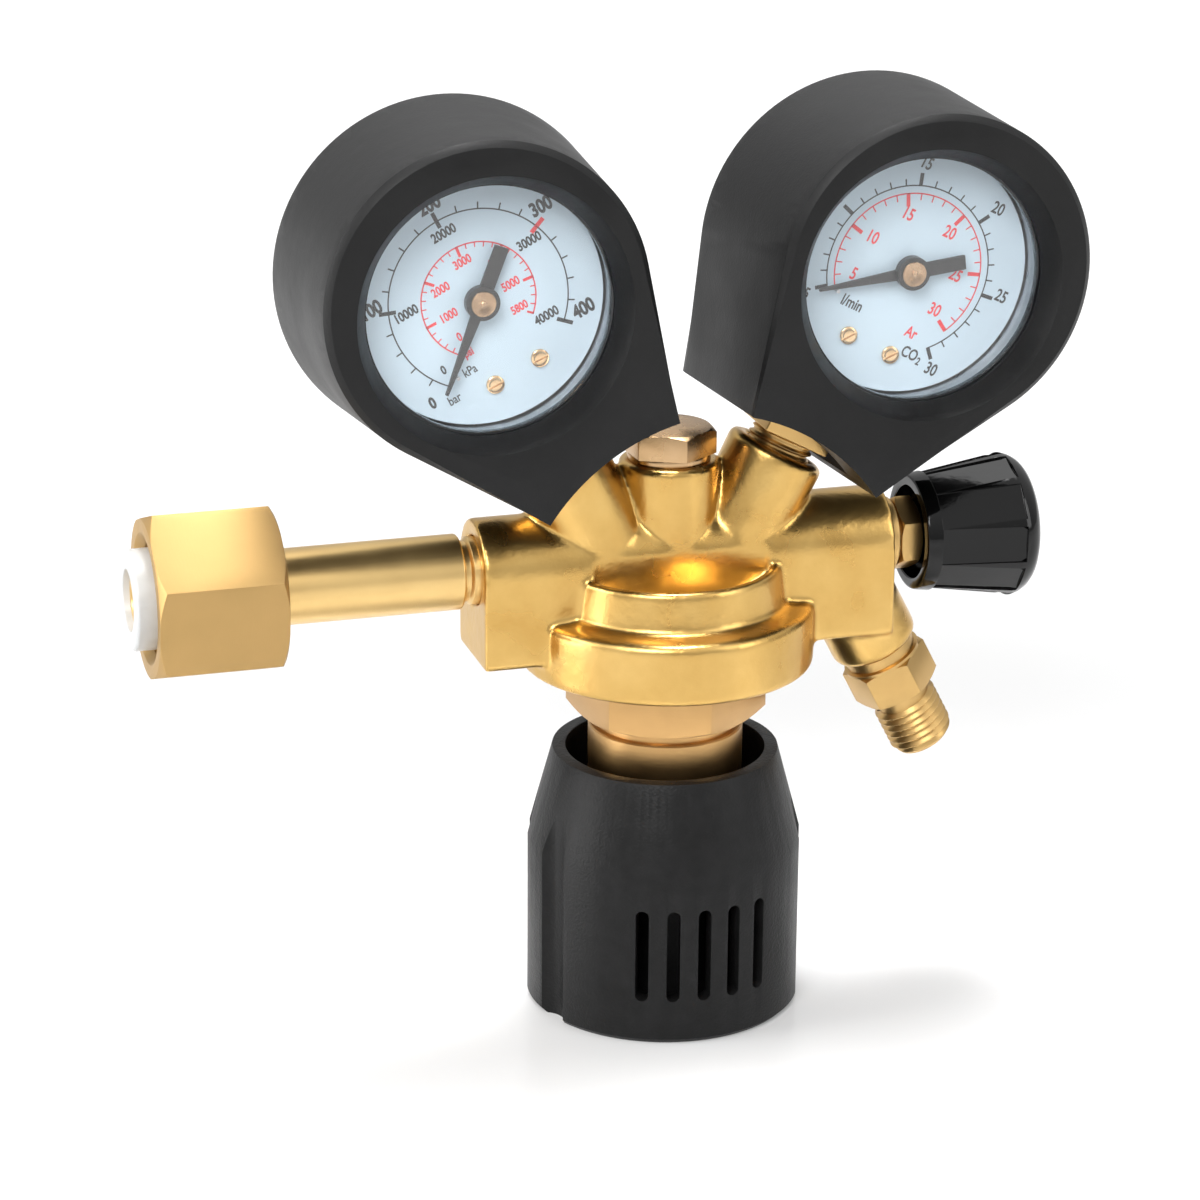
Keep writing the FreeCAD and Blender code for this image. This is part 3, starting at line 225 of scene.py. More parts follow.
def mottleGroup():  # a slow drift between two tones and two finishes
    group, given, out = newGroup("mottle", [
        ("Vector", "NodeSocketVector", (0, 0, 0)), ("Scale", "NodeSocketFloat", 60.0),
        ("Dark", "NodeSocketColor", (0, 0, 0, 1)), ("Light", "NodeSocketColor", (1, 1, 1, 1)),
        ("Smooth", "NodeSocketFloat", 0.2), ("Rough", "NodeSocketFloat", 0.4),
    ], [("Color", "NodeSocketColor"), ("Roughness", "NodeSocketFloat")])
    nodes, links = group.nodes, group.links
    noise = nodes.new("ShaderNodeTexNoise")
    noise.inputs["Detail"].default_value = mottleDetail["detail"]
    spread = nodes.new("ShaderNodeMapRange")
    spread.inputs["From Min"].default_value = mottleDetail["low"]
    spread.inputs["From Max"].default_value = mottleDetail["high"]
    mix = nodes.new("ShaderNodeMix")
    mix.data_type = "RGBA"
    finish = nodes.new("ShaderNodeMapRange")
    links.new(given.outputs["Vector"], noise.inputs["Vector"])
    links.new(given.outputs["Scale"], noise.inputs["Scale"])
    links.new(noise.outputs["Fac"], spread.inputs["Value"])
    links.new(spread.outputs[0], mix.inputs["Factor"])
    links.new(given.outputs["Dark"], mix.inputs[6])
    links.new(given.outputs["Light"], mix.inputs[7])
    links.new(spread.outputs[0], finish.inputs["Value"])
    links.new(given.outputs["Smooth"], finish.inputs["To Min"])
    links.new(given.outputs["Rough"], finish.inputs["To Max"])
    links.new(mix.outputs[2], out.inputs["Color"])
    links.new(finish.outputs[0], out.inputs["Roughness"])
    return group


skinGrain = grainGroup()
mottle = mottleGroup()


def surface(name, look):
    material = bpy.data.materials.new(name)
    material.use_nodes = True
    nodes, links = material.node_tree.nodes, material.node_tree.links
    shader = nodes["Principled BSDF"]
    shader.inputs["Metallic"].default_value = look.get("metallic", 0.0)
    shader.inputs["Specular IOR Level"].default_value = look.get("specular", 0.5)
    place = nodes.new("ShaderNodeTexCoord")
    mapping = nodes.new("ShaderNodeMapping")
    mapping.inputs["Scale"].default_value = look.get("stretch", (1, 1, 1))
    links.new(place.outputs["Object"], mapping.inputs["Vector"])
    tone = nodes.new("ShaderNodeGroup")
    tone.node_tree = mottle
    links.new(place.outputs["Object"], tone.inputs["Vector"])
    tone.inputs["Scale"].default_value = look.get("patches", 60.0)
    tone.inputs["Dark"].default_value = (*look["dark"], 1)
    tone.inputs["Light"].default_value = (*look["light"], 1)
    tone.inputs["Smooth"].default_value = look["roughness"][0]
    tone.inputs["Rough"].default_value = look["roughness"][1]
    links.new(tone.outputs["Color"], shader.inputs["Base Color"])
    links.new(tone.outputs["Roughness"], shader.inputs["Roughness"])
    grain = nodes.new("ShaderNodeGroup")
    grain.node_tree = skinGrain
    links.new(mapping.outputs["Vector"], grain.inputs["Vector"])
    grain.inputs["Fine"].default_value = look.get("fine", 2500.0)
    grain.inputs["Coarse"].default_value = look.get("coarse", 200.0)
    grain.inputs["Fine depth"].default_value = look.get("fineDepth", 0.3)
    grain.inputs["Coarse depth"].default_value = look.get("coarseDepth", 0.3)
    grain.inputs["Distance"].default_value = look.get("distance", 0.0001)
    links.new(grain.outputs["Normal"], shader.inputs["Normal"])
    return material


finishes = {
    "forgedBrass": dict(metallic=1.0, dark=(0.57, 0.345, 0.10), light=(0.69, 0.455, 0.155),
                        roughness=(0.25, 0.34), patches=90, fine=1500, coarse=210, fineDepth=0.35,
                        coarseDepth=1.6, distance=0.00010),
    "turnedBrass": dict(metallic=1.0, dark=(0.54, 0.345, 0.13), light=(0.64, 0.42, 0.165),
                        roughness=(0.32, 0.42), patches=70, fine=900, coarse=120, fineDepth=0.35,
                        coarseDepth=0.3, distance=0.00004, stretch=(4.0, 0.6, 0.6)),
    # the union nut's brass: a rougher finish, and its base colour darkened below the turned brass as painted
    # shade
    "shadedNutBrass": dict(metallic=1.0, dark=(0.44, 0.285, 0.112), light=(0.50, 0.325, 0.132),
                     roughness=(0.46, 0.54), patches=70, fine=900, coarse=120, fineDepth=0.35,
                     coarseDepth=0.3, distance=0.00004, stretch=(4.0, 0.6, 0.6)),
    # the bonnet's brass: its base colour is darkened to paint the shade under the body
    "shadedBonnetBrass": dict(metallic=1.0, dark=(0.49, 0.29, 0.115), light=(0.60, 0.365, 0.15),
                      roughness=(0.28, 0.38), patches=60, fine=900, coarse=120, fineDepth=0.5,
                      coarseDepth=0.3, distance=0.00004, stretch=(0.3, 0.3, 4.0)),
    "pipeBrass": dict(metallic=1.0, dark=(0.72, 0.49, 0.20), light=(0.82, 0.58, 0.245),
                      roughness=(0.33, 0.40), patches=60, fine=1600, coarse=140, fineDepth=0.15,
                      coarseDepth=0.3, distance=0.00004, stretch=(0.3, 1.0, 1.0)),
    "copperPlate": dict(metallic=1.0, dark=(0.46, 0.295, 0.145), light=(0.58, 0.385, 0.21),
                        roughness=(0.22, 0.32), patches=160, fine=1300, coarse=150, fineDepth=0.2,
                        coarseDepth=0.4, distance=0.00005),
    "knobPlastic": dict(dark=(0.0075, 0.0075, 0.0076), light=(0.0115, 0.0115, 0.0117),
                        roughness=(0.40, 0.46), specular=0.20, patches=300, fine=1900, coarse=500,
                        fineDepth=1.1, coarseDepth=0.4, distance=0.00009),
    "glossPlastic": dict(dark=(0.001, 0.001, 0.0011), light=(0.002, 0.002, 0.0021), roughness=(0.07, 0.11),
                         specular=0.34, patches=200, fine=1200, coarse=200, fineDepth=0.15, coarseDepth=0.5,
                         distance=0.00006),
    "rimPlastic": dict(dark=(0.010, 0.011, 0.012), light=(0.020, 0.022, 0.024), roughness=(0.07, 0.14),
                       patches=200, fine=1200, coarse=200, fineDepth=0.05, coarseDepth=0.2,
                       distance=0.00003),
    "bootRubber": dict(dark=(0.006, 0.006, 0.0062), light=(0.010, 0.010, 0.0102), roughness=(0.38, 0.47),
                       specular=0.24, patches=80, fine=2200, coarse=260, fineDepth=0.5, coarseDepth=0.5,
                       distance=0.00006),
    "hubBronze": dict(metallic=1.0, dark=(0.34, 0.22, 0.13), light=(0.52, 0.36, 0.23),
                      roughness=(0.18, 0.30), patches=500, fine=2600, fineDepth=0.2, coarseDepth=0.1,
                      distance=0.00003),
    "screwBrass": dict(metallic=1.0, dark=(0.70, 0.46, 0.24), light=(0.82, 0.58, 0.34),
                       roughness=(0.16, 0.26), patches=500, fine=2600, fineDepth=0.2, coarseDepth=0.1,
                       distance=0.00003),
    "sealRubber": dict(dark=(0.02, 0.02, 0.02), light=(0.035, 0.035, 0.035), roughness=(0.4, 0.55)),
    "whiteNylon": dict(dark=(0.60, 0.61, 0.61), light=(0.67, 0.68, 0.68), roughness=(0.28, 0.4),
                       patches=200, fine=900, fineDepth=0.1, coarseDepth=0.2, distance=0.00005),
    "drawnSteel": dict(metallic=1.0, dark=(0.42, 0.42, 0.43), light=(0.58, 0.58, 0.59),
                       roughness=(0.25, 0.4), patches=120, fine=1800, fineDepth=0.3, distance=0.00004,
                       stretch=(0.4, 1, 4)),
    "dialPaint": dict(dark=(0.47, 0.58, 0.66), light=(0.50, 0.615, 0.695), roughness=(0.40, 0.5),
                      patches=60, fine=3000, fineDepth=0.15, coarseDepth=0.1, distance=0.00002),
    "blackPaint": dict(dark=(0.010, 0.010, 0.010), light=(0.018, 0.018, 0.018), roughness=(0.34, 0.46),
                       patches=300, fine=2600, fineDepth=0.2, coarseDepth=0.1, distance=0.00003),
    "blackPrint": dict(dark=(0.010, 0.010, 0.012), light=(0.020, 0.020, 0.022), roughness=(0.5, 0.6),
                       fineDepth=0.1, coarseDepth=0.05, distance=0.00001),
    "redPrint": dict(dark=(0.66, 0.030, 0.040), light=(0.74, 0.045, 0.055), roughness=(0.5, 0.6),
                     fineDepth=0.1, coarseDepth=0.05, distance=0.00001),
}
paints = {name: surface(name, look) for name, look in finishes.items()}


glassLook = dict(specular=0.05, refraction=1.49, patches=90.0, roughness=(0.01, 0.04))


def clearGlass(look):  # lets the lamps through to the dial, and keeps its own gloss
    material = bpy.data.materials.new("clearWindow")
    material.use_nodes = True
    nodes, links = material.node_tree.nodes, material.node_tree.links
    shader = nodes["Principled BSDF"]
    shader.inputs["Base Color"].default_value = (1, 1, 1, 1)
    shader.inputs["Specular IOR Level"].default_value = look["specular"]
    shader.inputs["Transmission Weight"].default_value = 1.0
    shader.inputs["IOR"].default_value = look["refraction"]
    noise = nodes.new("ShaderNodeTexNoise")
    noise.inputs["Scale"].default_value = look["patches"]
    place = nodes.new("ShaderNodeTexCoord")
    spread = nodes.new("ShaderNodeMapRange")
    spread.inputs["To Min"].default_value = look["roughness"][0]
    spread.inputs["To Max"].default_value = look["roughness"][1]
    clear = nodes.new("ShaderNodeBsdfTransparent")
    path = nodes.new("ShaderNodeLightPath")
    mix = nodes.new("ShaderNodeMixShader")
    links.new(place.outputs["Object"], noise.inputs["Vector"])
    links.new(noise.outputs["Fac"], spread.inputs["Value"])
    links.new(spread.outputs[0], shader.inputs["Roughness"])
    links.new(path.outputs["Is Shadow Ray"], mix.inputs["Fac"])
    links.new(shader.outputs[0], mix.inputs[1])
    links.new(clear.outputs[0], mix.inputs[2])
    links.new(mix.outputs[0], nodes["Material Output"].inputs["Surface"])
    return material


paints["clearWindow"] = clearGlass(glassLook)
print("materials ready")

nodeFinishes = {
    "body": "forgedBrass", "bonnet": "shadedBonnetBrass", "inlet_nipple": "pipeBrass", "dial_screws": "screwBrass",
    "plug_gasket": "copperPlate", "valve_plug": "copperPlate", "inlet_seal": "whiteNylon",
    "valve_pad": "whiteNylon", "diaphragm": "sealRubber", "spindle_seal": "sealRubber",
    "adjusting_knob": "knobPlastic", "valve_knob": "glossPlastic",
}
for part in ("valve_spring", "main_spring", "spring_button", "adjusting_screw", "valve_spindle", "slip_ring",
             "pointer_stops", "case_left", "case_right"):
    nodeFinishes[part] = "drawnSteel"
for side in ("left", "right"):
    nodeFinishes.update({f"bezel_{side}": "rimPlastic", f"arbor_{side}": "hubBronze",
                         f"window_{side}": "clearWindow", f"dial_{side}": "dialPaint",
                         f"pointer_{side}": "blackPaint", f"boot_{side}": "bootRubber"})
for name, node in frame["nodes"].items():
    node.data.materials.clear()
    node.data.materials.append(paints[nodeFinishes.get(name, "turnedBrass")])
print("frame nodes painted")


# Camera, light and floor

viewSettings = dict(azimuth=-16.77, elevation=19.27, roll=0.45, place=(-0.22147, -0.68993, 0.33549),
                    lens=118.37, sensor=36.0, nearest=0.01)


def placeCamera(s):
    azimuth, elevation, roll = (math.radians(s[k]) for k in ("azimuth", "elevation", "roll"))
    back = Vector((math.sin(azimuth) * math.cos(elevation), -math.cos(azimuth) * math.cos(elevation),
                   math.sin(elevation)))
    right = Vector((0, 0, 1)).cross(back).normalized()
    up = back.cross(right)
    across = right * math.cos(roll) + up * math.sin(roll)
    above = up * math.cos(roll) - right * math.sin(roll)
    deselectAll()
    bpy.ops.object.camera_add(location=s["place"])
    camera = bpy.context.object
    camera.matrix_world = Matrix.Translation(s["place"]) @ Matrix((across, above, back)).transposed().to_4x4()
    camera.data.sensor_width = s["sensor"]
    camera.data.lens = s["lens"]
    camera.data.clip_start = s["nearest"]
    scene.camera = camera


lampSettings = [
    dict(name="keyLamp", place=(-0.38, -0.62, 0.68), target=(0, 0, 0.10), size=(0.40, 0.40), power=4.8),
    dict(name="sideLamp", place=(-0.80, 0.05, 0.28), target=(0, 0, 0.12), size=(0.35, 0.60), power=4.6),
    dict(name="fillLamp", place=(0.60, -0.55, 0.45), target=(0, 0, 0.10), size=(0.30, 0.60), power=1.5),
    dict(name="topLamp", place=(0.10, 0.30, 0.80), target=(0, 0, 0.12), size=(0.80, 0.40), power=1.5),
    dict(name="gapLamp", place=(0.03, 0.04, 0.43), target=(0.02, -0.01, 0.09), size=(0.22, 0.22),
         power=0.18, spread=30),
]
# the floor's glow near the part is kept low, which paints a darker pool of shade round it
roomSettings = dict(ambient=0.42, low=0.45, high=1.0, floorTone=0.70, nearShadeGlow=0.18, farGlow=0.66,
                    near=0.05, far=0.45, lowest=-0.05, highest=0.75, gloss=0.14, specular=0.35, side=12)


def placeLamps(settings):
    for s in settings:
        deselectAll()
        bpy.ops.object.light_add(type="AREA", location=s["place"])
        lamp = bpy.context.object
        lamp.name = s["name"]
        lamp.data.shape = "RECTANGLE"
        lamp.data.size, lamp.data.size_y = s["size"]
        lamp.data.energy = s["power"]
        lamp.data.spread = math.radians(s.get("spread", 180))
        aim = Vector(s["target"]) - Vector(s["place"])
        lamp.rotation_euler = aim.to_track_quat("-Z", "Y").to_euler()


def paintSky(s):  # brighter in reflections than as ambient light, and white behind the part
    world = bpy.data.worlds.new("studio")
    scene.world = world
    world.use_nodes = True
    nodes, links = world.node_tree.nodes, world.node_tree.links
    sky = nodes["Background"]
    place = nodes.new("ShaderNodeTexCoord")
    split = nodes.new("ShaderNodeSeparateXYZ")
    climb = nodes.new("ShaderNodeMapRange")
    climb.inputs["From Min"].default_value = s["lowest"]
    climb.inputs["From Max"].default_value = s["highest"]
    climb.inputs["To Min"].default_value = s["low"]
    climb.inputs["To Max"].default_value = s["high"]
    path = nodes.new("ShaderNodeLightPath")
    shiny = mathNode(nodes, "MAXIMUM")
    pickShiny = nodes.new("ShaderNodeMix")
    pickShiny.inputs[2].default_value = s["ambient"]
    pickCamera = nodes.new("ShaderNodeMix")
    pickCamera.inputs[3].default_value = 1.0
    links.new(place.outputs["Generated"], split.inputs[0])
    links.new(split.outputs["Z"], climb.inputs["Value"])
    links.new(path.outputs["Is Glossy Ray"], shiny.inputs[0])
    links.new(path.outputs["Is Transmission Ray"], shiny.inputs[1])
    links.new(shiny.outputs[0], pickShiny.inputs[0])
    links.new(climb.outputs[0], pickShiny.inputs[3])
    links.new(path.outputs["Is Camera Ray"], pickCamera.inputs[0])
    links.new(pickShiny.outputs[0], pickCamera.inputs[2])
    links.new(pickCamera.outputs[0], sky.inputs["Strength"])
    sky.inputs["Color"].default_value = (1, 1, 1, 1)


def layFloor(s):  # glows more with distance; the dimmer glow near the part paints a darker pool of shade round it
    deselectAll()
    bpy.ops.mesh.primitive_plane_add(size=s["side"])
    floor = bpy.context.object
    floor.name = "studioFloor"
    material = bpy.data.materials.new("paleFloor")
    material.use_nodes = True
    nodes, links = material.node_tree.nodes, material.node_tree.links
    shader = nodes["Principled BSDF"]
    shader.inputs["Base Color"].default_value = (s["floorTone"],) * 3 + (1,)
    shader.inputs["Roughness"].default_value = s["gloss"]
    shader.inputs["Specular IOR Level"].default_value = s["specular"]
    shader.inputs["Emission Color"].default_value = (1, 1, 1, 1)
    path = nodes.new("ShaderNodeLightPath")
    seen = mathNode(nodes, "MAXIMUM")
    seenThrough = mathNode(nodes, "MAXIMUM")
    glow = mathNode(nodes, "MULTIPLY")
    there = nodes.new("ShaderNodeTexCoord")
    away = nodes.new("ShaderNodeVectorMath")
    away.operation = "LENGTH"
    spread = nodes.new("ShaderNodeMapRange")
    spread.inputs["From Min"].default_value = s["near"]
    spread.inputs["From Max"].default_value = s["far"]
    # dimmer glow near the part: painted shade on the floor round it
    spread.inputs["To Min"].default_value = s["nearShadeGlow"]
    spread.inputs["To Max"].default_value = s["farGlow"]
    links.new(there.outputs["Object"], away.inputs[0])
    links.new(away.outputs["Value"], spread.inputs["Value"])
    links.new(spread.outputs[0], glow.inputs[1])
    links.new(path.outputs["Is Camera Ray"], seen.inputs[0])
    links.new(path.outputs["Is Glossy Ray"], seen.inputs[1])
    links.new(seen.outputs[0], seenThrough.inputs[0])
    links.new(path.outputs["Is Transmission Ray"], seenThrough.inputs[1])
    links.new(seenThrough.outputs[0], glow.inputs[0])
    links.new(glow.outputs[0], shader.inputs["Emission Strength"])
    floor.data.materials.append(material)


placeCamera(viewSettings)
placeLamps(lampSettings)
paintSky(roomSettings)
layFloor(roomSettings)
scene.view_settings.view_transform = "Standard"
print("camera and room ready")


# Forged body: the frame's own form, with its inner corners filled and its edges softened

bodyForm = dict(voxel=0.00050, strength=0.5, rounding=14, smooth=60)


def forgeBody(s):
    piece = copiedNode("body", "forgedBody")
    applied(piece, "REMESH", mode="VOXEL", voxel_size=s["voxel"], adaptivity=0.0)
    applied(piece, "SMOOTH", factor=s["strength"], iterations=s["rounding"])
    smoothed(piece, s["smooth"])
    return finished(piece, paints["forgedBrass"], "regulator", "forged_brass", "body")


forgeBody(bodyForm)
print("body forged")


# Turned and moulded parts: clean copies of the frame with their edges broken

softEdges = {
    "inlet_nipple": dict(name="inletPipe", paint="pipeBrass", slot="turned_brass", edge=0.12, turn=30),
    "inlet_seal": dict(name="inletSeal", paint="whiteNylon", slot="nylon", edge=0.25, turn=30),
    # the union nut takes the darkened brass, painted shade
    "union_nut": dict(name="unionNut", paint="shadedNutBrass", slot="turned_brass", edge=0.20, turn=20),
    "plug_gasket": dict(name="plugGasket", paint="copperPlate", slot="copper_gasket", edge=0.15, turn=30),
    "valve_plug": dict(name="plugHex", paint="copperPlate", slot="copper_gasket", edge=0.12, turn=20),
    "adjusting_knob": dict(name="knobCup", paint="knobPlastic", slot="knob_plastic", edge=0.35, turn=30),
    "valve_bonnet": dict(name="valveGland", paint="turnedBrass", slot="turned_brass", edge=0.12, turn=20),
    "boot_left": dict(name="bootLeft", paint="bootRubber", slot="boot_rubber", edge=0.8, turn=24, rounds=3),
    "boot_right": dict(name="bootRight", paint="bootRubber", slot="boot_rubber", edge=0.8, turn=24,
                       rounds=3),
    "bezel_left": dict(name="bezelLeft", paint="rimPlastic", slot="handle_plastic", edge=0.3, turn=30),
    "bezel_right": dict(name="bezelRight", paint="rimPlastic", slot="handle_plastic", edge=0.3, turn=30),
    "case_left": dict(name="caseLeft", paint="drawnSteel", slot="steel", edge=0.2, turn=30),
    "case_right": dict(name="caseRight", paint="drawnSteel", slot="steel", edge=0.2, turn=30),
}
bodyOf = {node: body for body, nodes in frame["record"]["behaviour"]["bodies"].items() for node in nodes}


def soften(node, s):
    piece = copiedNode(node, s["name"])
    bevelled(piece, s["edge"], s.get("rounds", 2), s["turn"], harden_normals=False, use_clamp_overlap=True)
    smoothed(piece, s["turn"] + 5)
    return finished(piece, paints[s["paint"]], bodyOf[node], s["slot"], node)


for node, look in softEdges.items():
    soften(node, look)
print("edges softened")


# Hexagons, with their corners turned down at both ends

hexForm = dict(past=0.6, start=0.1, over=0.01, bevelTurn=24, smoothTurn=28, steps=96)


def chamferedHex(s):
    past, start, over = hexForm["past"], hexForm["start"], hexForm["over"]
    deselectAll()
    low, high, flat = s["hexLow"], s["hexHigh"], s["acrossFlats"] / 2
    reach = flat / math.cos(math.radians(30))
    bpy.ops.mesh.primitive_cylinder_add(
        vertices=6, radius=reach * millimetre, depth=(high - low) * millimetre,
        location=(0, 0, (low + high) / 2 * millimetre), rotation=(0, 0, math.radians(s["hexTurn"])))
    hexagon = bpy.context.object
    settle(hexagon)
    wide = reach + past
    turned = lathed("hexChamfer", [
        (0, low - over), (flat + start, low - over), (wide, low + s["lowChamfer"]),
        (wide, high - s["highChamfer"]), (flat + start, high + over), (0, high + over)], hexForm["steps"])
    carved(hexagon, "INTERSECT", turned)
    bevelled(hexagon, s["edge"], 2, hexForm["bevelTurn"])
    smoothed(hexagon, hexForm["smoothTurn"])
    return hexagon


# Bonnet: a lathed shell with a hexagon round it

bonnetForm = dict(
    shell=[(5.1, 22.0), (12.0, 22.0), (12.6, 22.3), (14.9, 24.6), (15.2, 25.2), (15.2, 57.3), (14.9, 57.6),
           (14.0, 57.7), (14.0, 70.6), (24.6, 70.6), (24.9, 70.9), (24.9, 77.2), (15.6, 77.2), (15.6, 74.5),
           (12.6, 74.5), (12.6, 30.3), (5.1, 29.5), (5.1, 22.0)],
    acrossFlats=34.0, hexLow=60.1, hexHigh=70.65, lowChamfer=1.5, highChamfer=0.3, hexTurn=9.0, edge=0.12,
    steps=96, smooth=32,
)


def bonnetShell(s):
    shell = lathed("bonnetShell", s["shell"], s["steps"])
    smoothed(shell, s["smooth"])
    piece = joined([shell, chamferedHex(s)], "bonnetShell")
    # the bonnet takes the darkened brass, painted shade under the body
    return finished(piece, paints["shadedBonnetBrass"], "regulator", "turned_brass", "bonnet")


bonnetShell(bonnetForm)
print("bonnet turned")


# Outlet handle: a lathed cup with flat panels milled into its side

handleForm = dict(
    cup=[(0, 50.8), (5.2, 50.8), (5.2, 53.7), (9.2, 53.7), (9.2, 49.9), (9.4, 49.7), (10.9, 49.7),
         (11.3, 49.85), (11.48, 50.2), (14.22, 68.4), (14.2, 69.5), (13.9, 70.6), (13.3, 71.7), (12.4, 72.6),
         (11.2, 73.2), (9.6, 73.55), (6.0, 73.68), (0, 73.7)],
    panels=10, panelWidth=7.2, panelDepth=0.85, panelStart=52.4, panelEnd=69.3, small=11.4, left=49.7,
    rise=0.15, reach=4.0, height=92.0, edge=0.14, turn=18.0, steps=120, bevelTurn=20, smooth=22,
)


def valveHandle(s):
    cup = lathed("valveHandle", s["cup"], s["steps"])
    length = s["panelEnd"] - s["panelStart"]
    centre = s["panelStart"] + length / 2
    middle = s["small"] + (centre - s["left"]) * s["rise"] - s["panelDepth"] + s["reach"] / 2
    cutters = []
    for step in range(s["panels"]):
        deselectAll()
        bpy.ops.mesh.primitive_cube_add(size=millimetre)
        cutter = bpy.context.object
        cutter.scale = (s["reach"], s["panelWidth"], length)
        settle(cutter)
        cutter.data.transform(Matrix.Rotation(math.atan(s["rise"]), 4, "Y"))
        cutter.data.transform(Matrix.Translation(Vector((middle, 0, centre)) * millimetre))
        cutter.data.transform(Matrix.Rotation(math.radians(s["turn"] + 360 / s["panels"] * step), 4, "Z"))
        cutters.append(cutter)
    cutter = joined(cutters, "panelCutter")
    carved(cup, "DIFFERENCE", cutter)
    bevelled(cup, s["edge"], 2, s["bevelTurn"])
    smoothed(cup, s["smooth"])
    cup.data.transform(axisFrame((0, 0, s["height"]), 90))
    return finished(cup, paints["glossPlastic"], bodyOf["valve_knob"], "handle_plastic", "valve_knob")


valveHandle(handleForm)
print("handle moulded")


# Screw threads: one tooth profile, carried round and along its axis. The tooth's points are shares of the
# pitch, and sink is how far its ends go below the core, in millimetres.

toothForm = dict(rise=0.10, full=0.44, fall=0.58, end=0.92, sink=0.03, fadeOut=1.4, steps=60)


def screwThread(s):
    step, form = s["pitch"], toothForm
    piece = drawnProfile([
        (s["core"], s["low"]), (s["core"], s["low"] + step * form["rise"]),
        (s["major"], s["low"] + step * form["full"]), (s["major"], s["low"] + step * form["fall"]),
        (s["core"], s["low"] + step * form["end"]), (s["core"], s["low"] + step)])
    piece.name = "threadTooth"
    turns = int((s["high"] - s["low"]) / step)
    applied(piece, "SCREW", axis="Z", angle=2 * math.pi, screw_offset=step * millimetre, iterations=turns,
            steps=form["steps"], render_steps=form["steps"], use_merge_vertices=True,
            merge_threshold=weldDistance, use_smooth_shade=True)
    low, high = s["low"] * millimetre, (s["low"] + turns * step) * millimetre
    fade = step * millimetre
    sink = math.copysign(form["sink"], s["major"] - s["core"])
    for vertex in piece.data.vertices:  # lets the thread run out at both ends
        spot = vertex.co
        radius = math.hypot(spot.x, spot.y)
        strength = max(0.0, min(1.0, (spot.z - low) / fade, (high + fade - spot.z) / fade / form["fadeOut"]))
        wanted = (s["core"] - sink) * millimetre + (radius - s["core"] * millimetre) * strength
        spot.x, spot.y = spot.x * wanted / radius, spot.y * wanted / radius
    outward = s["major"] > s["core"]
    turnFaces(piece, lambda face: (face.normal.xy.dot(face.calc_center_median().xy) > 0) != outward)
    return piece


outletForm = dict(
    core=5.45, major=6.578, pitch=1.45, low=38.0, high=48.5, place=(31.8, 0, 92.0), turn=152.5,
    rod=[(2.6, 17.0), (6.0, 17.0), (6.0, 25.8), (7.0, 25.8), (7.2, 26.0), (7.2, 28.0), (7.9, 28.2),
         (7.9, 28.9), (5.45, 28.9), (5.45, 48.1), (4.95, 48.6), (3.8, 48.6), (2.6, 47.4), (2.6, 17.0)],
    acrossFlats=15.2, hexLow=28.7, hexHigh=36.3, lowChamfer=0.8, highChamfer=0.8, hexTurn=-14.0, edge=0.12,
    steps=72, smooth=30,
)


def outletWithThread(s):
    rod = lathed("outletRod", s["rod"], s["steps"])
    smoothed(rod, s["smooth"])
    piece = joined([rod, chamferedHex(s), screwThread(s)], "outletAdapter")
    piece.data.transform(axisFrame(s["place"], s["turn"]))
    return finished(piece, paints["turnedBrass"], "regulator", "turned_brass", "outlet_adapter")


socketForm = dict(
    core=5.85, major=6.578, pitch=1.337, low=46.0, high=51.0, root=69.225, tilt=27.5,
    square=14.0, squareLow=50.6, squareHigh=75.4, edge=0.35,
    rod=[(0, 40.0), (5.9, 40.0), (5.9, 50.7), (0, 50.7)], steps=60, smooth=30,
)


def gaugeSocket(side, sign, s):
    rod = lathed("socketRod", s["rod"], s["steps"])
    smoothed(rod, s["smooth"])
    deselectAll()
    bpy.ops.mesh.primitive_cube_add(size=millimetre,
                                    location=(0, 0, (s["squareLow"] + s["squareHigh"]) / 2 * millimetre))
    block = bpy.context.object
    block.scale = (s["square"], s["square"], s["squareHigh"] - s["squareLow"])
    settle(block)
    bevelled(block, s["edge"], 3, s["smooth"])
    smoothed(block, s["smooth"])
    piece = joined([rod, block, screwThread(s)], f"socket{side.title()}")
    piece.data.transform(axisFrame((0, 0, s["root"]), sign * s["tilt"]))
    return finished(piece, paints["turnedBrass"], bodyOf[f"gauge_socket_{side}"], "turned_brass",
                    f"gauge_socket_{side}")


mouthForm = dict(core=10.92, major=10.35, pitch=1.81, low=92.4, high=101.4, height=92.0)


def mouthThread(s):  # inside the union nut, which opens towards -X
    piece = screwThread(s)
    piece.name = "mouthThread"
    piece.data.transform(axisFrame((0, 0, s["height"]), -90))
    return finished(piece, paints["turnedBrass"], bodyOf["union_nut"], "turned_brass")


outletWithThread(outletForm)
gaugeSocket("left", -1, socketForm)
gaugeSocket("right", 1, socketForm)
mouthThread(mouthForm)
print("threads cut")


# Dial prints, in millimetres on each dial: u to the right, v up, angles clockwise from the top

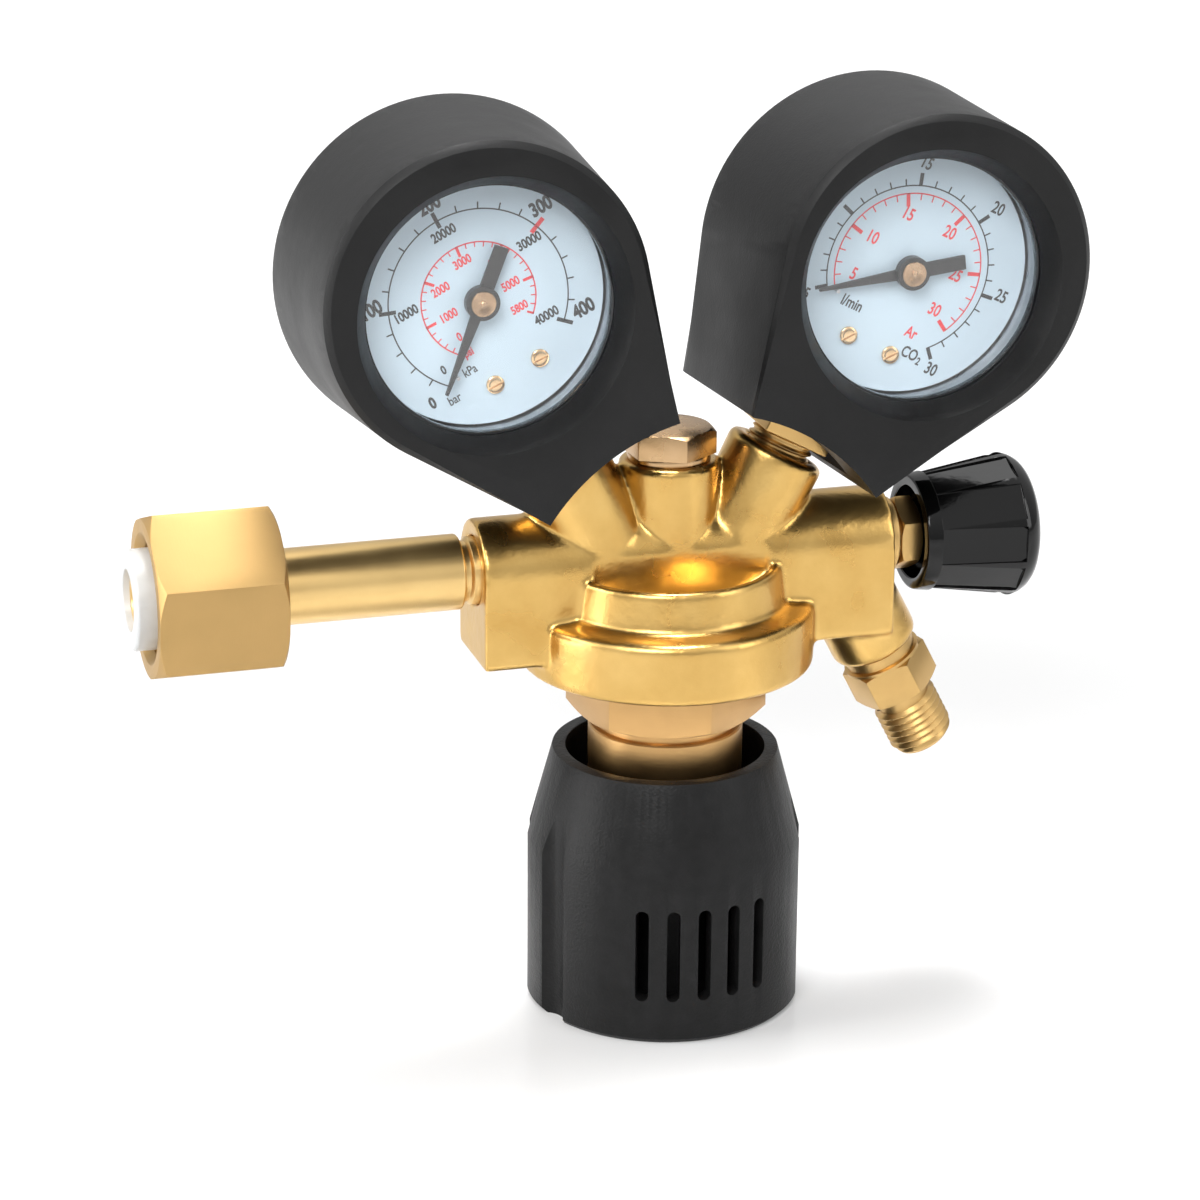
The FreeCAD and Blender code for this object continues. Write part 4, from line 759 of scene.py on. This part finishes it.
dialSettings = dict(reach=90.5, tilt=27.5, forward=14.8, height=149.5, lift=0.03)
printSettings = dict(sizeToHeight=1.38, narrow=0.76, curveSteps=5, arcSteps=90)
leftDial = dict(
    arcs=[("blackPrint", 17.0, 0.26, -133.5, 136.0), ("redPrint", 10.85, 0.26, -135.0, 136.0)],
    majors=[("blackPrint", a, 15.6, 18.8, 0.75) for a in (-133.5, -67.5, 0.0, 135.0)]
    + [("redPrint", 67.5, 15.5, 18.9, 0.85)],
    minors=[("blackPrint", -135 + 13.5 * i, 16.9, 18.3, 0.28) for i in range(1, 20) if i % 5],
    inner=[("redPrint", a, 8.9, 11.0, 0.55) for a in (-135, -88.4, -41.9, 4.7, 51.2, 97.8)]
    + [("redPrint", 135.0, 9.6, 11.0, 0.4)]
    + [("redPrint", -135 + 9.31 * i, 9.9, 10.9, 0.22) for i in range(1, 29) if i % 5],
    words=[
        ("blackPrint", "100", -18.3, 8.6, 2.7, 0.15), ("blackPrint", "200", 0.2, 20.3, 2.7, 0.15),
        ("blackPrint", "300", 18.1, 9.3, 2.7, 0.15), ("blackPrint", "400", 16.3, -12.0, 2.7, 0.15),
        ("blackPrint", "0", -16.6, -12.9, 2.2, 0.15), ("blackPrint", "bar", -12.7, -14.4, 1.85, 0.03),
        ("blackPrint", "0", -11.9, -8.4, 1.7, 0.09), ("blackPrint", "10000", -13.0, 4.6, 1.85, 0.09),
        ("blackPrint", "20000", 0.1, 14.3, 1.85, 0.09), ("blackPrint", "30000", 13.2, 4.7, 1.85, 0.09),
        ("blackPrint", "40000", 9.6, -9.5, 1.85, 0.09), ("blackPrint", "kPa", -7.7, -11.1, 1.85, 0.03),
        ("redPrint", "0", -6.4, -4.4, 1.7, 0.07), ("redPrint", "1000", -6.3, 0.2, 1.7, 0.07),
        ("redPrint", "2000", -5.3, 5.3, 1.7, 0.07), ("redPrint", "3000", 0.6, 7.8, 1.7, 0.07),
        ("redPrint", "4000", 6.1, 4.6, 1.7, 0.07), ("redPrint", "5000", 6.5, -0.6, 1.7, 0.07),
        ("redPrint", "5800", 5.9, -5.4, 1.6, 0.07), ("redPrint", "psi", -6.3, -7.9, 1.6, 0.07),
    ],
)
rightDial = dict(
    arcs=[("blackPrint", 16.2, 0.26, -124.4, 136.2), ("redPrint", 14.7, 0.26, -127.0, 120.0)],
    majors=[("blackPrint", a, 16.1, 18.6, 0.75) for a in (-124.4, -72.3, -20.4, 32.2, 83.9, 136.2)],
    minors=[("blackPrint", -124.4 + 10.42 * i, 16.1, 17.5, 0.28) for i in range(1, 25) if i % 5],
    inner=[("redPrint", a, 12.2, 14.8, 0.75) for a in (-127, -78, -29, 21, 70, 120)]
    + [("redPrint", -127 + 9.87 * i, 13.4, 14.7, 0.24) for i in range(1, 25) if i % 5],
    words=[
        ("blackPrint", "5", -16.4, -12.2, 2.2, 0.07), ("blackPrint", "10", -19.6, 6.6, 2.2, 0.07),
        ("blackPrint", "15", -6.6, 19.4, 2.4, 0.07), ("blackPrint", "20", 10.9, 17.6, 2.4, 0.07),
        ("blackPrint", "25", 20.0, 3.0, 2.4, 0.07), ("blackPrint", "30", 13.9, -15.2, 2.4, 0.07),
        ("blackPrint", "CO", 8.4, -14.2, 2.2, 0.07), ("blackPrint", "2", 10.7, -14.9, 1.5, 0.07),
        ("redPrint", "Ar", 6.7, -10.5, 2.2, 0.07), ("blackPrint", "l/min", -7.1, -10.2, 2.2, 0.07),
        ("redPrint", "5", -9.6, -5.1, 2.4, 0.07), ("redPrint", "10", -9.6, 2.6, 2.4, 0.07),
        ("redPrint", "15", -5.2, 9.4, 2.4, 0.07), ("redPrint", "20", 4.2, 9.6, 2.4, 0.07),
        ("redPrint", "25", 9.4, 2.9, 2.4, 0.07), ("redPrint", "30", 8.8, -4.7, 2.4, 0.07),
    ],
)


def dialPlace(sign, s):
    angle = math.radians(sign * s["tilt"])
    across = sign * s["reach"] * math.sin(math.radians(s["tilt"]))
    centre = Vector((across, -s["forward"], s["height"])) * millimetre
    turn = Matrix(((math.cos(angle), math.sin(angle), 0), (0, 0, -1), (-math.sin(angle), math.cos(angle), 0)))
    return Matrix.Translation(centre) @ turn.to_4x4()


def arcBand(radius, width, start, end):
    band = singlePoint()
    bpy.ops.transform.translate(value=(0, (radius - width / 2) * millimetre, 0))
    bpy.ops.mesh.extrude_region_move(TRANSFORM_OT_translate={"value": (0, width * millimetre, 0)})
    bpy.ops.mesh.select_all(action="SELECT")
    bpy.ops.mesh.spin(steps=printSettings["arcSteps"], angle=math.radians(end - start), center=(0, 0, 0),
                      axis=(0, 0, 1))
    bpy.ops.object.mode_set(mode="OBJECT")
    band.rotation_euler = (0, 0, -math.radians(start))
    return band


def tick(angle, low, high, width):
    turn = -math.radians(angle)
    middle = (low + high) / 2 * millimetre
    bpy.ops.mesh.primitive_plane_add(size=1, location=(-math.sin(turn) * middle, math.cos(turn) * middle, 0),
                                     rotation=(0, 0, turn))
    mark = bpy.context.object
    mark.scale = (width * millimetre, (high - low) * millimetre, 1)
    return mark


def printedWord(text, u, v, height, weight):
    bpy.ops.object.text_add(location=(u * millimetre, v * millimetre, 0))
    word = bpy.context.object
    word.data.body = text
    word.data.size = height * printSettings["sizeToHeight"] * millimetre
    word.data.align_x = "CENTER"
    word.data.align_y = "CENTER"
    word.data.offset = weight * millimetre
    word.data.resolution_u = printSettings["curveSteps"]
    word.scale = (printSettings["narrow"], 1, 1)
    bpy.ops.object.convert(target="MESH")
    return bpy.context.object


def printDial(side, sign, dial):
    there = dialPlace(sign, dialSettings)
    for ink, name in (("blackPrint", "inkBlack"), ("redPrint", "inkRed")):
        marks = [arcBand(*arc[1:]) for arc in dial["arcs"] if arc[0] == ink]
        for kind in ("majors", "minors", "inner"):
            marks += [tick(*line[1:]) for line in dial[kind] if line[0] == ink]
        marks += [printedWord(*word[1:]) for word in dial["words"] if word[0] == ink]
        for mark in marks:
            settle(mark)
        piece = joined(marks, f"{name}{side.title()}")
        bpy.ops.object.mode_set(mode="EDIT")
        bpy.ops.mesh.select_all(action="SELECT")
        bpy.ops.mesh.normals_make_consistent(inside=False)
        bpy.ops.object.mode_set(mode="OBJECT")
        turnFaces(piece, lambda face: face.normal.z < 0)
        piece.data.transform(there @ Matrix.Translation((0, 0, dialSettings["lift"] * millimetre)))
        finished(piece, paints[ink], "regulator", "dial_paint")


# Dial screws and the hubs of the pointers

dialScrew = dict(
    head=[(0, 0.0), (1.66, 0.0), (1.7, 0.05), (1.7, 0.45), (1.62, 0.52), (1.30, 0.60), (1.12, 0.86),
          (0.95, 0.90), (0, 0.90)],
    top=0.90, slotWidth=0.42, slotDepth=0.42, slotReach=5, slotTurn=24.0, forward=14.8, steps=40, smooth=35,
    places=[(-38.704, 133.18), (-30.194, 137.61), (30.194, 137.61), (38.704, 133.18)],
)
hubPin = dict(
    form=[(0, 3.8), (0.9, 3.8), (0.9, 18.2), (2.25, 18.2), (2.4, 18.28), (2.4, 18.48), (2.28, 18.6),
          (1.15, 18.6), (0.98, 18.5), (0.62, 18.5), (0.55, 18.72), (0.35, 18.86), (0, 18.88)],
    height=149.5, across=41.789, steps=48, smooth=35,
)


def faceDial(x, z):  # Z of a lathed form turns to face the front
    return Matrix.Translation(Vector((x, 0, z)) * millimetre) @ Matrix.Rotation(math.radians(90), 4, "X")


def dialScrews(s):
    heads = []
    for x, z in s["places"]:
        head = lathed("dialScrew", s["head"], s["steps"])
        deselectAll()
        bpy.ops.mesh.primitive_cube_add(size=millimetre, location=(0, 0, s["top"] * millimetre),
                                        rotation=(0, 0, math.radians(s["slotTurn"])))
        slot = bpy.context.object
        slot.scale = (s["slotReach"], s["slotWidth"], s["slotDepth"] * 2)
        settle(slot)
        carved(head, "DIFFERENCE", slot)
        smoothed(head, s["smooth"])
        head.data.transform(faceDial(x, z) @ Matrix.Translation((0, 0, s["forward"] * millimetre)))
        heads.append(head)
    piece = joined(heads, "dialScrewHeads")
    return finished(piece, paints["screwBrass"], bodyOf["dial_screws"], "turned_brass", "dial_screws")


def hubPins(s):
    for side, sign in (("left", -1), ("right", 1)):
        piece = lathed(f"hub{side.title()}", s["form"], s["steps"])
        smoothed(piece, s["smooth"])
        piece.data.transform(faceDial(sign * s["across"], s["height"]))
        finished(piece, paints["hubBronze"], bodyOf[f"arbor_{side}"], "turned_brass", f"arbor_{side}")


dialScrews(dialScrew)
hubPins(hubPin)
print("dial screws and hubs made")

printDial("left", -1, leftDial)
printDial("right", 1, rightDial)
print("dials printed")
